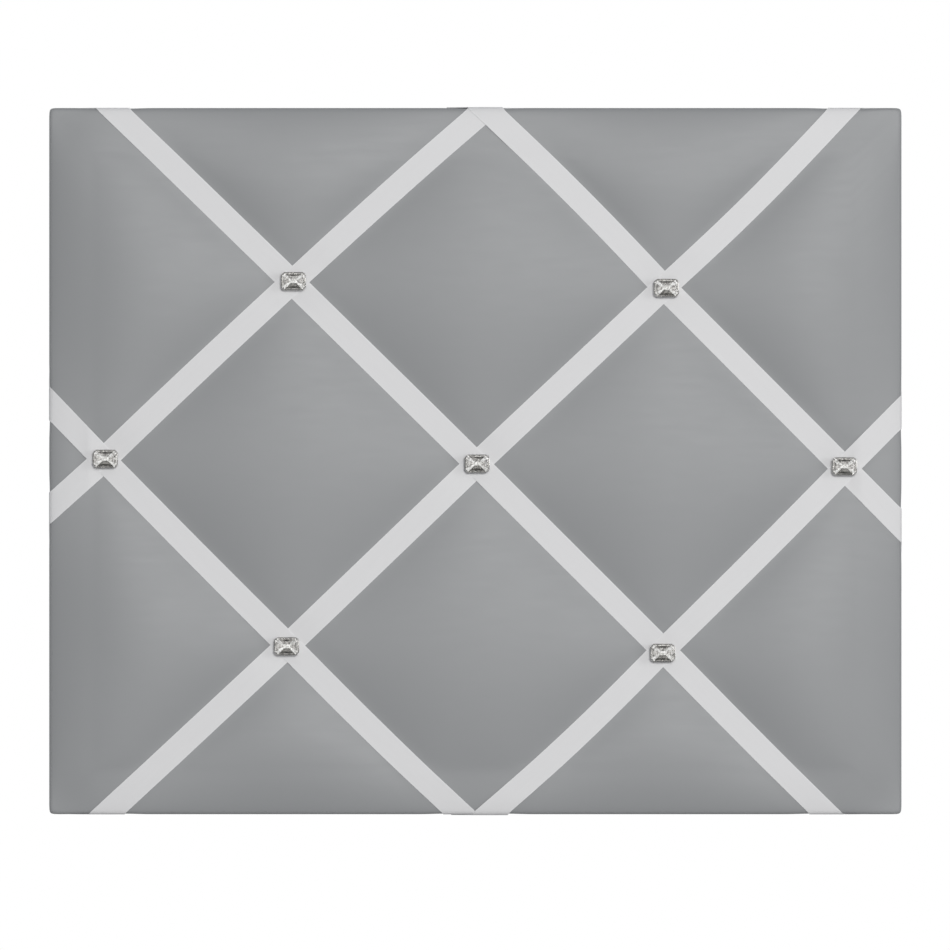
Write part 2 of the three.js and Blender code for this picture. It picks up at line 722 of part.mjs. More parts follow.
for (const hanger of hangers) {
  const group = new THREE.Group();
  group.position.set(hanger.x, 0, hanger.z);
  group.rotation.y = hanger.turn;
  board.add(group);
  addPiece(`${hanger.name}_hanger_strap`, toGeometry(strapSolid()), 'steel', group);
  addPiece(`${hanger.name}_hanger_ring`, ringGeometry(), 'steel', group);
  addPiece(`${hanger.name}_hanger_screw`, screwGeometry(), 'steel', group);
}

// Ribbons, each with a staple on both tails
const legHoles = [];
const hemSlits = [];
for (const ribbon of ribbons) {
  const start = ribbonEnd(ribbon, edges[ribbon.start], -1);
  const end = ribbonEnd(ribbon, edges[ribbon.end], 1);
  let solid = toSolid(loft([...start.stations.reverse(), ...ribbonFace(ribbon), ...end.stations]));
  const legs = [...stapleLegs(start, pierceGap), ...stapleLegs(end, pierceGap)];
  legHoles.push(...legs);
  hemSlits.push(hemSlit(start), hemSlit(end));
  for (const hole of [...pinHoles, ...legs]) solid = solid.subtract(hole);
  addPiece(`ribbon_${ribbon.name}`, toGeometry(solid), 'satin');
  addPiece(`staple_${ribbon.name}_start`, toGeometry(stapleSolid(start)), 'steel');
  addPiece(`staple_${ribbon.name}_end`, toGeometry(stapleSolid(end)), 'steel');
}

// Stones in their settings
for (const stone of stones) {
  const { x, z } = stonePlace(stone);
  addPiece(`stone_${stone.name}`, toGeometry(stoneSolid(x, z)), 'crystal');
  addPiece(`setting_${stone.name}`, toGeometry(settingSolid(x, z)), 'silver');
}

// Back panel
const panelShape = roundedRectangle(boardWidth / 2 - panelInset, boardHeight / 2 - panelInset, panelCornerRadius);
let panel = toSolid(planExtrude(panelShape, 0, panelThickness, panelCornerSteps));
for (const hole of screwHoles) panel = panel.subtract(hole);
addPiece('back_panel', toGeometry(panel), 'card');

// Core, batting and cloth, with the ways through them for pins, legs and screws
const paddingInset = clothThickness + softGap;
let core = toSolid(boardOutline(paddingInset, coreBackY, coreThickness));
for (const hole of [...pinHoles, ...legHoles, ...screwHoles]) core = core.subtract(hole);
addPiece('core_board', toGeometry(core), 'fibreboard');

let batting = pillow(0).intersect(envelope(paddingInset, coreFrontY));
for (const hole of pinHoles) batting = batting.subtract(hole);
addPiece('batting', toGeometry(batting), 'wadding');

const outside = pillow(coverRise).intersect(envelope(0, hemBackY));
const inside = pillow(softGap).intersect(envelope(clothThickness, coreBackY));
const openX = boardWidth / 2 - hemWidth;
const openZ = boardHeight / 2 - hemWidth;
let cover = outside.subtract(inside);
cover = cover.subtract(toSolid(block(-openX, openX, coreBackY - overcut, 0, -openZ, openZ)));
const slitLength = (hemWidth - mitreStart) * Math.SQRT2;
const slitMiddle = (hemWidth + mitreStart) / 2;
for (const [signX, signZ] of [[1, 1], [-1, 1], [-1, -1], [1, -1]]) {
  const slit = block(-slitLength / 2, slitLength / 2, coreBackY - softGap, 0, -mitreSlit / 2, mitreSlit / 2);
  slit.rotateY(Math.atan2(-signZ, signX));
  slit.translate(signX * (boardWidth / 2 - slitMiddle), 0, signZ * (boardHeight / 2 - slitMiddle));
  cover = cover.subtract(toSolid(slit));
}
for (const hole of [...pinHoles, ...hemSlits]) cover = cover.subtract(hole);
addPiece('fabric_cover', toGeometry(cover), 'sateen');

export default board;
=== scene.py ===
import json
import math

import bmesh
import bpy
import numpy as np
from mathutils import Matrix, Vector


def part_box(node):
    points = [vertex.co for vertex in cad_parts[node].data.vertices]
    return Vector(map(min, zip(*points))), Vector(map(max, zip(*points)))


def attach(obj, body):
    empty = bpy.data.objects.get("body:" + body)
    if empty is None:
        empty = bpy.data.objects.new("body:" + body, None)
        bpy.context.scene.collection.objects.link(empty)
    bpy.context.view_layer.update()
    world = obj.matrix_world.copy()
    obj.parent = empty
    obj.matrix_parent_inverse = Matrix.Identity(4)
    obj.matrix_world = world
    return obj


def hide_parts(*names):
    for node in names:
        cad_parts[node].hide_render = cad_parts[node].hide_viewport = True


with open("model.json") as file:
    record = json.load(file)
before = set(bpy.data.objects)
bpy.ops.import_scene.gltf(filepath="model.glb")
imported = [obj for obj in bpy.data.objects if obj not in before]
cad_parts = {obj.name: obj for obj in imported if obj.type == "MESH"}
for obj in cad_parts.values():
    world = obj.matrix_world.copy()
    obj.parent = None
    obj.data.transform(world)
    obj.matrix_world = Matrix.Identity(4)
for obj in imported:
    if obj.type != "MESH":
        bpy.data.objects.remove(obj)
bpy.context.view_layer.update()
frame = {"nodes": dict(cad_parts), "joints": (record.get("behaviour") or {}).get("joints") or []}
nodes = frame["nodes"]
scene = bpy.context.scene
mm = 0.001  # pieces are worked out in millimetres, and turned into metres when their mesh is made
print("frame loaded:", len(nodes), "nodes")


# sizes and places read from the frame, in millimetres

def middleOf(name):
    low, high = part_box(name)
    return (low.x + high.x) / 2 / mm, (low.z + high.z) / 2 / mm


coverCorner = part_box("fabric_cover")[1] / mm
halfWidth, hemBack, halfHeight = coverCorner.x, coverCorner.y, coverCorner.z
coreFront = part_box("core_board")[0].y / mm
stoneNames = ["top_left", "top_right", "left", "centre", "right", "bottom_left", "bottom_right"]
stonePlaces = {name: middleOf("setting_" + name) for name in stoneNames}
staplePlaces = [middleOf(name) for name in nodes if name.startswith("staple")]


# node helpers

def feed(tree, socket, value):
    # a socket takes a plain value, or the output of another node
    if isinstance(value, bpy.types.NodeSocket):
        tree.links.new(value, socket)
    else:
        socket.default_value = value


def mathNode(tree, operation, *values):
    node = tree.nodes.new("ShaderNodeMath")
    node.operation = operation
    for socket, value in zip(node.inputs, values):
        feed(tree, socket, value)
    return node.outputs[0]


def noiseNode(tree, coordinates, scale, detail, roughness):
    node = tree.nodes.new("ShaderNodeTexNoise")
    feed(tree, node.inputs["Vector"], coordinates)
    feed(tree, node.inputs["Scale"], scale)
    node.inputs["Detail"].default_value = detail
    node.inputs["Roughness"].default_value = roughness
    return node.outputs["Fac"]


def stretchNode(tree, coordinates, factors):
    node = tree.nodes.new("ShaderNodeVectorMath")
    node.operation = "MULTIPLY"
    feed(tree, node.inputs[0], coordinates)
    node.inputs[1].default_value = factors
    return node.outputs[0]


def axisNode(tree, coordinates, axis):
    node = tree.nodes.new("ShaderNodeSeparateXYZ")
    feed(tree, node.inputs[0], coordinates)
    return node.outputs[axis]


def mixColours(tree, factor, first, second):
    node = tree.nodes.new("ShaderNodeMix")
    node.data_type = "RGBA"
    feed(tree, node.inputs["Factor"], factor)
    for label, value in (("A", first), ("B", second)):
        feed(tree, node.inputs[label], (*value, 1) if isinstance(value, tuple) else value)
    return node.outputs["Result"]


def spanNode(tree, value, low, high, start=0.0, end=1.0, kind="LINEAR"):
    # low to high while the value goes from start to end
    node = tree.nodes.new("ShaderNodeMapRange")
    node.interpolation_type = kind
    feed(tree, node.inputs["Value"], value)
    for label, limit in (("From Min", start), ("From Max", end), ("To Min", low), ("To Max", high)):
        node.inputs[label].default_value = limit
    return node.outputs["Result"]


def bumpNode(tree, height, strength, distance):
    node = tree.nodes.new("ShaderNodeBump")
    feed(tree, node.inputs["Height"], height)
    node.inputs["Strength"].default_value = strength
    node.inputs["Distance"].default_value = distance
    return node.outputs["Normal"]


def coordinatesNode(tree, label):
    return tree.nodes.new("ShaderNodeTexCoord").outputs[label]


def newGroup(name, inputs, outputs):
    group = bpy.data.node_groups.new(name, "ShaderNodeTree")
    for direction, sockets in (("INPUT", inputs), ("OUTPUT", outputs)):
        for label, kind in sockets.items():
            group.interface.new_socket(label, in_out=direction, socket_type="NodeSocket" + kind)
    return group, group.nodes.new("NodeGroupInput"), group.nodes.new("NodeGroupOutput")


def placeGroup(tree, group, coordinates, **values):
    node = tree.nodes.new("ShaderNodeGroup")
    node.node_tree = group
    feed(tree, node.inputs["Coordinates"], coordinates)
    for label, value in values.items():
        node.inputs[label].default_value = value
    return node.outputs


def newFinish(name, sockets):
    material = bpy.data.materials.new(name)
    material.use_nodes = True
    tree = material.node_tree
    shader = tree.nodes["Principled BSDF"]
    for label, value in sockets.items():
        shader.inputs[label].default_value = value
    return material, tree, shader


def connect(tree, shader, **outputs):
    for label, output in outputs.items():
        tree.links.new(output, shader.inputs[label.replace("_", " ")])


# camera, light and floor

studio = {
    "sensorWidth": 36,
    "distance": 3.0,  # metres from the camera to the board's face
    "frameWidth": 0.37715,  # metres of the board's plane across the picture
    "facePlane": -0.012,  # the y of that plane
    "aimX": -0.00014,
    "aimZ": -0.00552,
    # each lamp's name, place, size and power
    "lamps": [
        ("key", (0.54, -4.9, 0.7), 1.1, 120.0),  # past the camera, a little right of it and above
        ("side", (1.9, -1.5, 0.3), 1.0, 8.0),
    ],
    "frontSky": 0.3,  # the studio behind the camera
    "backSky": 0.65,  # the white behind the board
    "skyBlend": 0.35,  # half of the band where one goes over into the other
    "skyColour": (0.94, 0.965, 1, 1),
    "white": (1, 1, 1, 1),
    "floorHeight": -0.8,
    "floorRadius": 2.4,
    "floorSides": 96,
    "floorGrey": (0.4, 0.4, 0.4, 1),
    "floorRoughness": 0.9,
    "floorGlow": 0.6,  # lifts the seen floor to white, and its shadow stays
}


def addCamera():
    data = bpy.data.cameras.new("camera")
    data.sensor_width = studio["sensorWidth"]
    data.lens = data.sensor_width * studio["distance"] / studio["frameWidth"]
    camera = bpy.data.objects.new("camera", data)
    camera.location = (studio["aimX"], studio["facePlane"] - studio["distance"], studio["aimZ"])
    camera.rotation_euler = (math.pi / 2, 0, 0)
    scene.collection.objects.link(camera)
    scene.camera = camera


def addSoftbox(name, place, size, power):
    data = bpy.data.lights.new(name, "AREA")
    data.shape = "DISK"
    data.size = size
    data.energy = power
    lamp = bpy.data.objects.new(name, data)
    lamp.location = place
    lamp.rotation_euler = (-Vector(place)).to_track_quat("-Z", "Y").to_euler()
    lamp.visible_transmission = False  # the stones show the white studio, and no lamp in it
    scene.collection.objects.link(lamp)


def seenByEye(tree):
    # 1 for what the eye sees straight or by way of the stones, 0 for light that falls on the board
    path = tree.nodes.new("ShaderNodeLightPath").outputs
    return mathNode(tree, "MAXIMUM", path["Is Camera Ray"], path["Is Transmission Ray"])


def addSky():
    world = bpy.data.worlds.new("studio")
    scene.world = world
    world.use_nodes = True
    tree = world.node_tree
    tree.nodes.clear()
    depth = axisNode(tree, coordinatesNode(tree, "Generated"), "Y")
    blend = studio["skyBlend"]
    light = tree.nodes.new("ShaderNodeBackground")
    light.inputs["Color"].default_value = studio["skyColour"]
    strength = spanNode(tree, depth, studio["frontSky"], studio["backSky"], -blend, blend)
    tree.links.new(strength, light.inputs["Strength"])
    seen = tree.nodes.new("ShaderNodeBackground")
    seen.inputs["Color"].default_value = studio["white"]
    seen.inputs["Strength"].default_value = 1
    mix = tree.nodes.new("ShaderNodeMixShader")
    for socket, output in zip(mix.inputs, (seenByEye(tree), light.outputs[0], seen.outputs[0])):
        tree.links.new(output, socket)
    out = tree.nodes.new("ShaderNodeOutputWorld")
    tree.links.new(mix.outputs[0], out.inputs["Surface"])


def addFloor():
    mesh = bpy.data.meshes.new("floor")
    form = bmesh.new()
    sides, radius = studio["floorSides"], studio["floorRadius"]
    bmesh.ops.create_circle(form, cap_ends=True, segments=sides, radius=radius)
    form.to_mesh(mesh)
    form.free()
    floor = bpy.data.objects.new("floor", mesh)
    floor.location.z = studio["floorHeight"]
    scene.collection.objects.link(floor)
    material, tree, shader = newFinish("paleFloor", {
        "Base Color": studio["floorGrey"],
        "Roughness": studio["floorRoughness"],
        "Emission Color": studio["white"],
    })
    glow = mathNode(tree, "MULTIPLY", seenByEye(tree), studio["floorGlow"])
    connect(tree, shader, Emission_Strength=glow)
    mesh.materials.append(material)


addCamera()
for lamp in studio["lamps"]:
    addSoftbox(*lamp)
addSky()
addFloor()
scene.view_settings.view_transform = "Standard"
print("studio ready")


# finishes; a noise is given by its scale, detail and roughness, a bump by its strength and metres

weave = {
    "wobble": 0.6,
    "warpShare": 0.65,  # the rest is weft
    "slubStretch": (60, 420, 60),
    "slubNoise": (1.0, 4, 0.6),
}
wear = {
    "cloud": (3, 0.55),  # detail and roughness
    "scratchStretch": (400, 9000, 6000),
    "scratchNoise": (1.0, 2, 0.5),
    "scratchBump": (0.08, 0.00002),
}


def makeThreadGroup():
    # woven threads both ways, with soft slubs; coordinates are metres of flat cloth
    group, given, out = newGroup(
        "wovenThread",
        {"Coordinates": "Vector", "Along": "Float", "Across": "Float"},
        {"Thread": "Float", "Slub": "Float"},
    )
    flat = given.outputs["Coordinates"]
    bands = []
    for direction, label in (("X", "Along"), ("Y", "Across")):
        wave = group.nodes.new("ShaderNodeTexWave")
        wave.wave_type = "BANDS"
        wave.bands_direction = direction
        wave.inputs["Distortion"].default_value = weave["wobble"]
        wave.inputs["Detail"].default_value = 1
        feed(group, wave.inputs["Vector"], flat)
        feed(group, wave.inputs["Scale"], given.outputs[label])
        bands.append(wave.outputs["Fac"])
    weft = mathNode(group, "MULTIPLY", bands[1], 1 - weave["warpShare"])
    thread = mathNode(group, "MULTIPLY_ADD", bands[0], weave["warpShare"], weft)
    slub = noiseNode(group, stretchNode(group, flat, weave["slubStretch"]), *weave["slubNoise"])
    group.links.new(thread, out.inputs["Thread"])
    group.links.new(slub, out.inputs["Slub"])
    return group


def makeWearGroup():
    # soft cloudy marks and fine scratches for metal; coordinates are metres
    group, given, out = newGroup(
        "handledMetal",
        {"Coordinates": "Vector", "Scale": "Float"},
        {"Cloud": "Float", "Scratch": "Float"},
    )
    place = given.outputs["Coordinates"]
    cloud = noiseNode(group, place, given.outputs["Scale"], *wear["cloud"])
    drawn = stretchNode(group, place, wear["scratchStretch"])
    scratch = noiseNode(group, drawn, *wear["scratchNoise"])
    group.links.new(cloud, out.inputs["Cloud"])
    group.links.new(scratch, out.inputs["Scratch"])
    return group


threadGroup = makeThreadGroup()
wearGroup = makeWearGroup()

sideTurn = {"start": -0.5, "end": 1.5}  # millimetres behind the core's front, where the sides begin


def sideShare(tree):
    # 1 where cloth goes down the board's sides and over its back, 0 on the face
    depth = axisNode(tree, coordinatesNode(tree, "Object"), "Y")
    start, end = [(coreFront + sideTurn[label]) * mm for label in ("start", "end")]
    return spanNode(tree, depth, 0, 1, start, end)


def addShine(tree, shader, woven, look):
    # slubs vary the shine, the threads stand up a little, and the sides are duller
    dull = mathNode(tree, "MULTIPLY", sideShare(tree), look["sideDull"])
    shine = mathNode(tree, "ADD", spanNode(tree, woven["Slub"], *look["roughness"]), dull)
    connect(tree, shader, Roughness=shine, Normal=bumpNode(tree, woven["Thread"], *look["bump"]))


sateenLook = {
    "shader": {"Specular IOR Level": 0.65, "Sheen Weight": 0.05, "Sheen Roughness": 0.4},
    "tones": ((0.279, 0.284, 0.289), (0.292, 0.297, 0.302)),
    "toneNoise": (14.0, 2, 0.5),
    "thread": (0.23, 0.235, 0.239),
    "threadShow": 0.16,
    "threadsAlong": 900.0,
    "threadsAcross": 1150.0,
    "roughness": (0.45, 0.53),
    "sideDull": 0.4,
    "bump": (0.12, 0.00006),
}


def makeSateen():
    look = sateenLook
    material, tree, shader = newFinish("greySateen", look["shader"])
    flat = coordinatesNode(tree, "UV")
    woven = placeGroup(
        tree, threadGroup, flat, Along=look["threadsAlong"], Across=look["threadsAcross"]
    )
    cloud = noiseNode(tree, coordinatesNode(tree, "Object"), *look["toneNoise"])
    tone = mixColours(tree, cloud, *look["tones"])
    threadShow = spanNode(tree, woven["Thread"], 0, look["threadShow"])
    connect(tree, shader, Base_Color=mixColours(tree, threadShow, tone, look["thread"]))
    addShine(tree, shader, woven, look)
    return material


satinLook = {
    "shader": {"Specular IOR Level": 0.3, "Sheen Weight": 0.15, "Sheen Roughness": 0.3},
    "flatStretch": (1, 0.0048, 1),  # turns lanes across the ribbon into metres
    "tones": ((0.713, 0.707, 0.709), (0.755, 0.749, 0.75)),
    "selvedge": (0.82, 0.82, 0.82),
    "selvedgeShow": 0.3,
    "selvedgeSpan": (0.84, 0.93),  # lanes where it begins and is full
    "thread": (0.61, 0.61, 0.61),
    "threadShow": 0.1,
    "threadsAlong": 500.0,
    "threadsAcross": 1500.0,
    "roughness": (0.4, 0.52),
    "sideDull": 0.35,
    "bump": (0.1, 0.00005),
}


def makeSatin():
    look = satinLook
    material, tree, shader = newFinish("offWhiteSatin", look["shader"])
    # x runs along the ribbon in metres, y across it from -1 to 1
    place = coordinatesNode(tree, "UV")
    flat = stretchNode(tree, place, look["flatStretch"])
    woven = placeGroup(
        tree, threadGroup, flat, Along=look["threadsAlong"], Across=look["threadsAcross"]
    )
    fromMiddle = mathNode(tree, "ABSOLUTE", axisNode(tree, place, "Y"))
    selvedge = spanNode(tree, fromMiddle, 0, 1, *look["selvedgeSpan"], kind="SMOOTHSTEP")
    selvedgeShow = mathNode(tree, "MULTIPLY", selvedge, look["selvedgeShow"])
    tone = mixColours(tree, woven["Slub"], *look["tones"])
    edged = mixColours(tree, selvedgeShow, tone, look["selvedge"])
    threadShow = spanNode(tree, woven["Thread"], 0, look["threadShow"])
    connect(tree, shader, Base_Color=mixColours(tree, threadShow, edged, look["thread"]))
    addShine(tree, shader, woven, look)
    return material


crystalLook = {
    "shader": {
        "Base Color": (0.97, 0.98, 0.985, 1),
        "Metallic": 0.0,
        "IOR": 1.58,
        "Transmission Weight": 1.0,
    },
    "scale": 700.0,
    "roughness": (0.0, 0.03),
}


def makeCrystal():
    material, tree, shader = newFinish("clearCrystal", crystalLook["shader"])
    place = coordinatesNode(tree, "Object")
    marks = placeGroup(tree, wearGroup, place, Scale=crystalLook["scale"])
    connect(tree, shader, Roughness=spanNode(tree, marks["Cloud"], *crystalLook["roughness"]))
    return material


foilLook = {
    "scale": 1500.0,
    "fleckSpan": (0.36, 0.62),
    "roughness": (0.05, 0.16),
    # dark and light flecks of each foil; the three foils are copies of one foil with a painted
    # highlight, a painted half shade and a painted shade
    "tones": {
        "foilPaintedHighlight": ((0.5, 0.485, 0.46), (0.96, 0.95, 0.93)),
        "foilPaintedHalfShade": ((0.24, 0.23, 0.22), (0.72, 0.7, 0.67)),
        "foilPaintedShade": ((0.1, 0.096, 0.09), (0.36, 0.35, 0.33)),
    },
}


def makeFoil(name, tones):
    material, tree, shader = newFinish(name, {"Metallic": 1.0})
    marks = placeGroup(tree, wearGroup, coordinatesNode(tree, "Object"), Scale=foilLook["scale"])
    fleck = spanNode(tree, marks["Cloud"], 0, 1, *foilLook["fleckSpan"])
    roughness = spanNode(tree, marks["Cloud"], *foilLook["roughness"])
    connect(tree, shader, Base_Color=mixColours(tree, fleck, *tones), Roughness=roughness)
    return material


silverLook = {
    "tones": ((0.6, 0.59, 0.57), (0.78, 0.77, 0.75)),
    "roughness": (0.14, 0.28),
    "scale": 700.0,
}
zincLook = {
    "tones": ((0.5, 0.5, 0.5), (0.66, 0.66, 0.67)),
    "roughness": (0.24, 0.42),
    "scale": 350.0,
}


def makeMetal(name, look):
    material, tree, shader = newFinish(name, {"Metallic": 1.0})
    marks = placeGroup(tree, wearGroup, coordinatesNode(tree, "Object"), Scale=look["scale"])
    connect(
        tree,
        shader,
        Base_Color=mixColours(tree, marks["Cloud"], *look["tones"]),
        Roughness=spanNode(tree, marks["Cloud"], *look["roughness"]),
        Normal=bumpNode(tree, marks["Scratch"], *wear["scratchBump"]),
    )
    return material


cardLook = {
    "shader": {"Specular IOR Level": 0.3},
    "tones": ((0.021, 0.021, 0.023), (0.043, 0.043, 0.044)),
    "toneNoise": (22.0, 3, 0.55),
    "toneSpan": (0.3, 0.7),
    "fibreNoise": (1.0, 4, 0.6),
    "fibreStretch": (110, 400, 850),  # pressed fibres lie across the panel
    "speckNoise": (700.0, 4, 0.65),
    # the most that shows, the span of the noise where it comes up, and the colour
    "fibre": (0.6, (0.45, 0.75), (0.09, 0.088, 0.086)),
    "speck": (0.6, (0.4, 0.7), (0.012, 0.012, 0.013)),
    "roughness": (0.62, 0.9),
    "bump": (0.35, 0.00015),
}


def makeCard():
    look = cardLook
    material, tree, shader = newFinish("blackCard", look["shader"])
    place = coordinatesNode(tree, "Object")
    cloud = noiseNode(tree, place, *look["toneNoise"])
    fibre = noiseNode(tree, stretchNode(tree, place, look["fibreStretch"]), *look["fibreNoise"])
    speck = noiseNode(tree, place, *look["speckNoise"])
    colour = mixColours(tree, spanNode(tree, cloud, 0, 1, *look["toneSpan"]), *look["tones"])
    for marks, (most, span, markColour) in ((fibre, look["fibre"]), (speck, look["speck"])):
        colour = mixColours(tree, spanNode(tree, marks, 0, most, *span), colour, markColour)
    connect(
        tree,
        shader,
        Base_Color=colour,
        Roughness=spanNode(tree, fibre, *look["roughness"]),
        Normal=bumpNode(tree, fibre, *look["bump"]),
    )
    return material


fibreboardLook = {
    "shader": {"Specular IOR Level": 0.2},
    "tones": ((0.26, 0.17, 0.10), (0.46, 0.33, 0.21)),
    "stretch": (900, 900, 900),
    "noise": (1.0, 5, 0.7),
    "roughness": (0.8, 0.98),
    "bump": (0.3, 0.0002),
}
waddingLook = {
    "shader": {"Specular IOR Level": 0.1, "Sheen Weight": 0.3},
    "tones": ((0.72, 0.71, 0.68), (0.9, 0.89, 0.86)),
    "stretch": (300, 300, 900),
    "noise": (1.0, 6, 0.7),
    "roughness": (0.9, 1.0),
    "bump": (0.6, 0.0006),
}


def makeFibrous(name, look):
    material, tree, shader = newFinish(name, look["shader"])
    place = stretchNode(tree, coordinatesNode(tree, "Object"), look["stretch"])
    fibres = noiseNode(tree, place, *look["noise"])
    connect(
        tree,
        shader,
        Base_Color=mixColours(tree, fibres, *look["tones"]),
        Roughness=spanNode(tree, fibres, *look["roughness"]),
        Normal=bumpNode(tree, fibres, *look["bump"]),
    )
    return material


sateen = makeSateen()
satin = makeSatin()
crystal = makeCrystal()
# copies of one foil with painted highlight, painted half shade and painted shade, for the stones' back
# facets
paintedShadeFoils = [makeFoil(name, tones) for name, tones in foilLook["tones"].items()]
silver = makeMetal("silverPlate", silverLook)
zinc = makeMetal("zincSteel", zincLook)
card = makeCard()
fibreboard = makeFibrous("rawFibreboard", fibreboardLook)
wadding = makeFibrous("looseWadding", waddingLook)
print("finishes ready")


# mesh helpers

def addPiece(name, points, faces, finishes, body="board", faceFinish=None, sharpAngle=None):
    mesh = bpy.data.meshes.new(name)
    mesh.from_pydata([tuple(point) for point in np.asarray(points) * mm], [], faces)
    for finish in finishes:
        mesh.materials.append(finish)
    if faceFinish is not None:
        mesh.polygons.foreach_set("material_index", faceFinish)
    mesh.shade_smooth()
    if sharpAngle is not None:
        mesh.set_sharp_from_angle(angle=math.radians(sharpAngle))
    piece = bpy.data.objects.new(name, mesh)
    scene.collection.objects.link(piece)
    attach(piece, body)
    return piece


def giveFlat(piece, flat):
    # flat holds one place on the flat cloth for each point
    layer = piece.data.uv_layers.new(name="flat")
    corner = np.zeros(len(piece.data.loops), np.int32)
    piece.data.loops.foreach_get("vertex_index", corner)
    layer.data.foreach_set("uv", np.asarray(flat, np.float32)[corner].ravel())


def turnOutwards(piece):
    form = bmesh.new()
    form.from_mesh(piece.data)
    bmesh.ops.recalc_face_normals(form, faces=form.faces)
    form.to_mesh(piece.data)
    form.free()


def bandFaces(first, second, sides):
    # quads between two rings of points, whose numbers start at first and at second
    faces = []
    for side in range(sides):
        following = (side + 1) % sides
        faces.append((first + side, first + following, second + following, second + side))
    return faces


def loftFaces(rings, sides, base=0):
    # ring after ring with a cap on both ends, for points whose numbers start at base
    faces = []
    for ring in range(base, base + (rings - 1) * sides, sides):
        faces += bandFaces(ring, ring + sides, sides)
    faces.append(tuple(reversed(range(base, base + sides))))
    faces.append(tuple(range(base + (rings - 1) * sides, base + rings * sides)))
    return faces


def gridFaces(countX, countZ):
    faces = []
    for row in range(countZ - 1):
        for here in range(row * countX, row * countX + countX - 1):
            faces.append((here, here + 1, here + 1 + countX, here + countX))
    return faces


def gridBorder(countX, countZ):
    # numbers of the points round the grid
    last = (countZ - 1) * countX
    border = list(range(countX - 1))
    border += [row * countX + countX - 1 for row in range(countZ - 1)]
    border += [last + column for column in range(countX - 1, 0, -1)]
    border += [row * countX for row in range(countZ - 1, 0, -1)]
    return border


def skirtFaces(border, rings, base):
    # from the border of a sheet down ring after ring, for rings whose numbers start at base
    sides = len(border)
    faces = []
    first = border
    for ring in range(rings):
        second = [base + ring * sides + side for side in range(sides)]
        for side in range(sides):
            following = (side + 1) % sides
            faces.append((first[side], second[side], second[following], first[following]))
        first = second
    return faces


def eased(share):
    share = np.clip(share, 0, 1)
    return share * share * (3 - 2 * share)


def lengthsAlong(places):
    return np.concatenate([[0], np.cumsum(np.linalg.norm(np.diff(places, axis=0), axis=1))])


# the ribbon lattice, in millimetres on the board's face

lattice = {
    "sideInset": 22.25,  # left and right crossings, in from the side edges
    "endOverrun": 2.4,  # top and bottom crossings, past the end edges
    "drop": 1.5,
    "lines": (-1, 0, 1),  # where the ribbons lie, of both the falling and the rising lines
    "outermost": 2,  # lines through the board's corners
    "reach": 2.4,
    "settleSteps": 7,
    # how far the hand-laid ribbons stray at each crossing: falling line, rising line, right, up
    "strays": [
        (0, 1, 0.7, 1.2),
        (0, 0, 0.5, 0.4),
        (0, -1, 1.2, -2.3),
        (1, 0, 1.4, -0.9),
        (1, -1, -0.5, -1.5),
        (-1, 1, -0.5, 1.9),
        (-1, 0, -0.9, -0.3),
        (1, 1, 4.3, -1.2),
        (-1, -1, -0.3, -1.3),
        (0, 2, 2, 0),
        (2, 0, 0.3, 0),
        (0, -2, -3.8, 0),
        (-2, 0, -3.5, 0),
        (1, -2, 0, -4),
        (-1, 2, 0, 5.9),
        (-2, 1, 0, 8.9),
        (2, -1, 0, 1),
    ],
    # how far a ribbon bows between two crossings: falling or rising, its line, from, sideways
    "bows": [
        (True, 1, 0, 0.9),
        (True, 0, -2, -0.25),
        (True, -1, -1, -0.65),
        (True, -1, 0, -0.2),
        (False, 1, -1, 0.3),
        (False, 1, 0, 0.45),
        (False, 0, 1, -1.45),
        (False, -1, -1, -1.4),
        (False, -1, 0, -0.3),
    ],
}
stepX = (halfWidth - lattice["sideInset"]) / 2
stepZ = (halfHeight + lattice["endOverrun"]) / 2
latticeSide = math.hypot(stepX, stepZ)
outermost = lattice["outermost"]
lineCount = 2 * outermost + 1
strayRight, strayUp = np.zeros((lineCount, lineCount)), np.zeros((lineCount, lineCount))
for fallingLine, risingLine, right, up in lattice["strays"]:
    strayRight[fallingLine + outermost, risingLine + outermost] = right
    strayUp[fallingLine + outermost, risingLine + outermost] = up


def latticePoint(a, b):
    # a and b count the falling and the rising lines
    a, b = np.asarray(a, float), np.asarray(b, float)
    cellA = np.clip(np.floor(a), -outermost, outermost - 1).astype(int)
    cellB = np.clip(np.floor(b), -outermost, outermost - 1).astype(int)
    shareA, shareB = a - cellA, b - cellB
    rowA, rowB = cellA + outermost, cellB + outermost

    def stray(table):
        low = table[rowA, rowB] * (1 - shareB) + table[rowA, rowB + 1] * shareB
        high = table[rowA + 1, rowB] * (1 - shareB) + table[rowA + 1, rowB + 1] * shareB
        return low * (1 - shareA) + high * shareA

    x = stepX * (a - b) + stray(strayRight)
    z = stepZ * (a + b) - lattice["drop"] + stray(strayUp)
    for falling, line, start, sideways in lattice["bows"]:
        across, along = (a, b) if falling else (b, a)
        beside = np.clip(1 - np.abs(across - line), 0, 1)
        bow = sideways / latticeSide * np.sin(np.clip(along - start, 0, 1) * math.pi) * beside
        x = x + (stepX if falling else -stepX) * bow
        z = z + stepZ * bow
    return x, z


def latticePlace(x, z):
    a, b = np.zeros_like(x), np.zeros_like(x)
    for _ in range(lattice["settleSteps"]):
        atX, atZ = latticePoint(a, b)
        a = a + ((x - atX) / stepX + (z - atZ) / stepZ) / 2
        b = b + ((z - atZ) / stepZ - (x - atX) / stepX) / 2
    return a, b


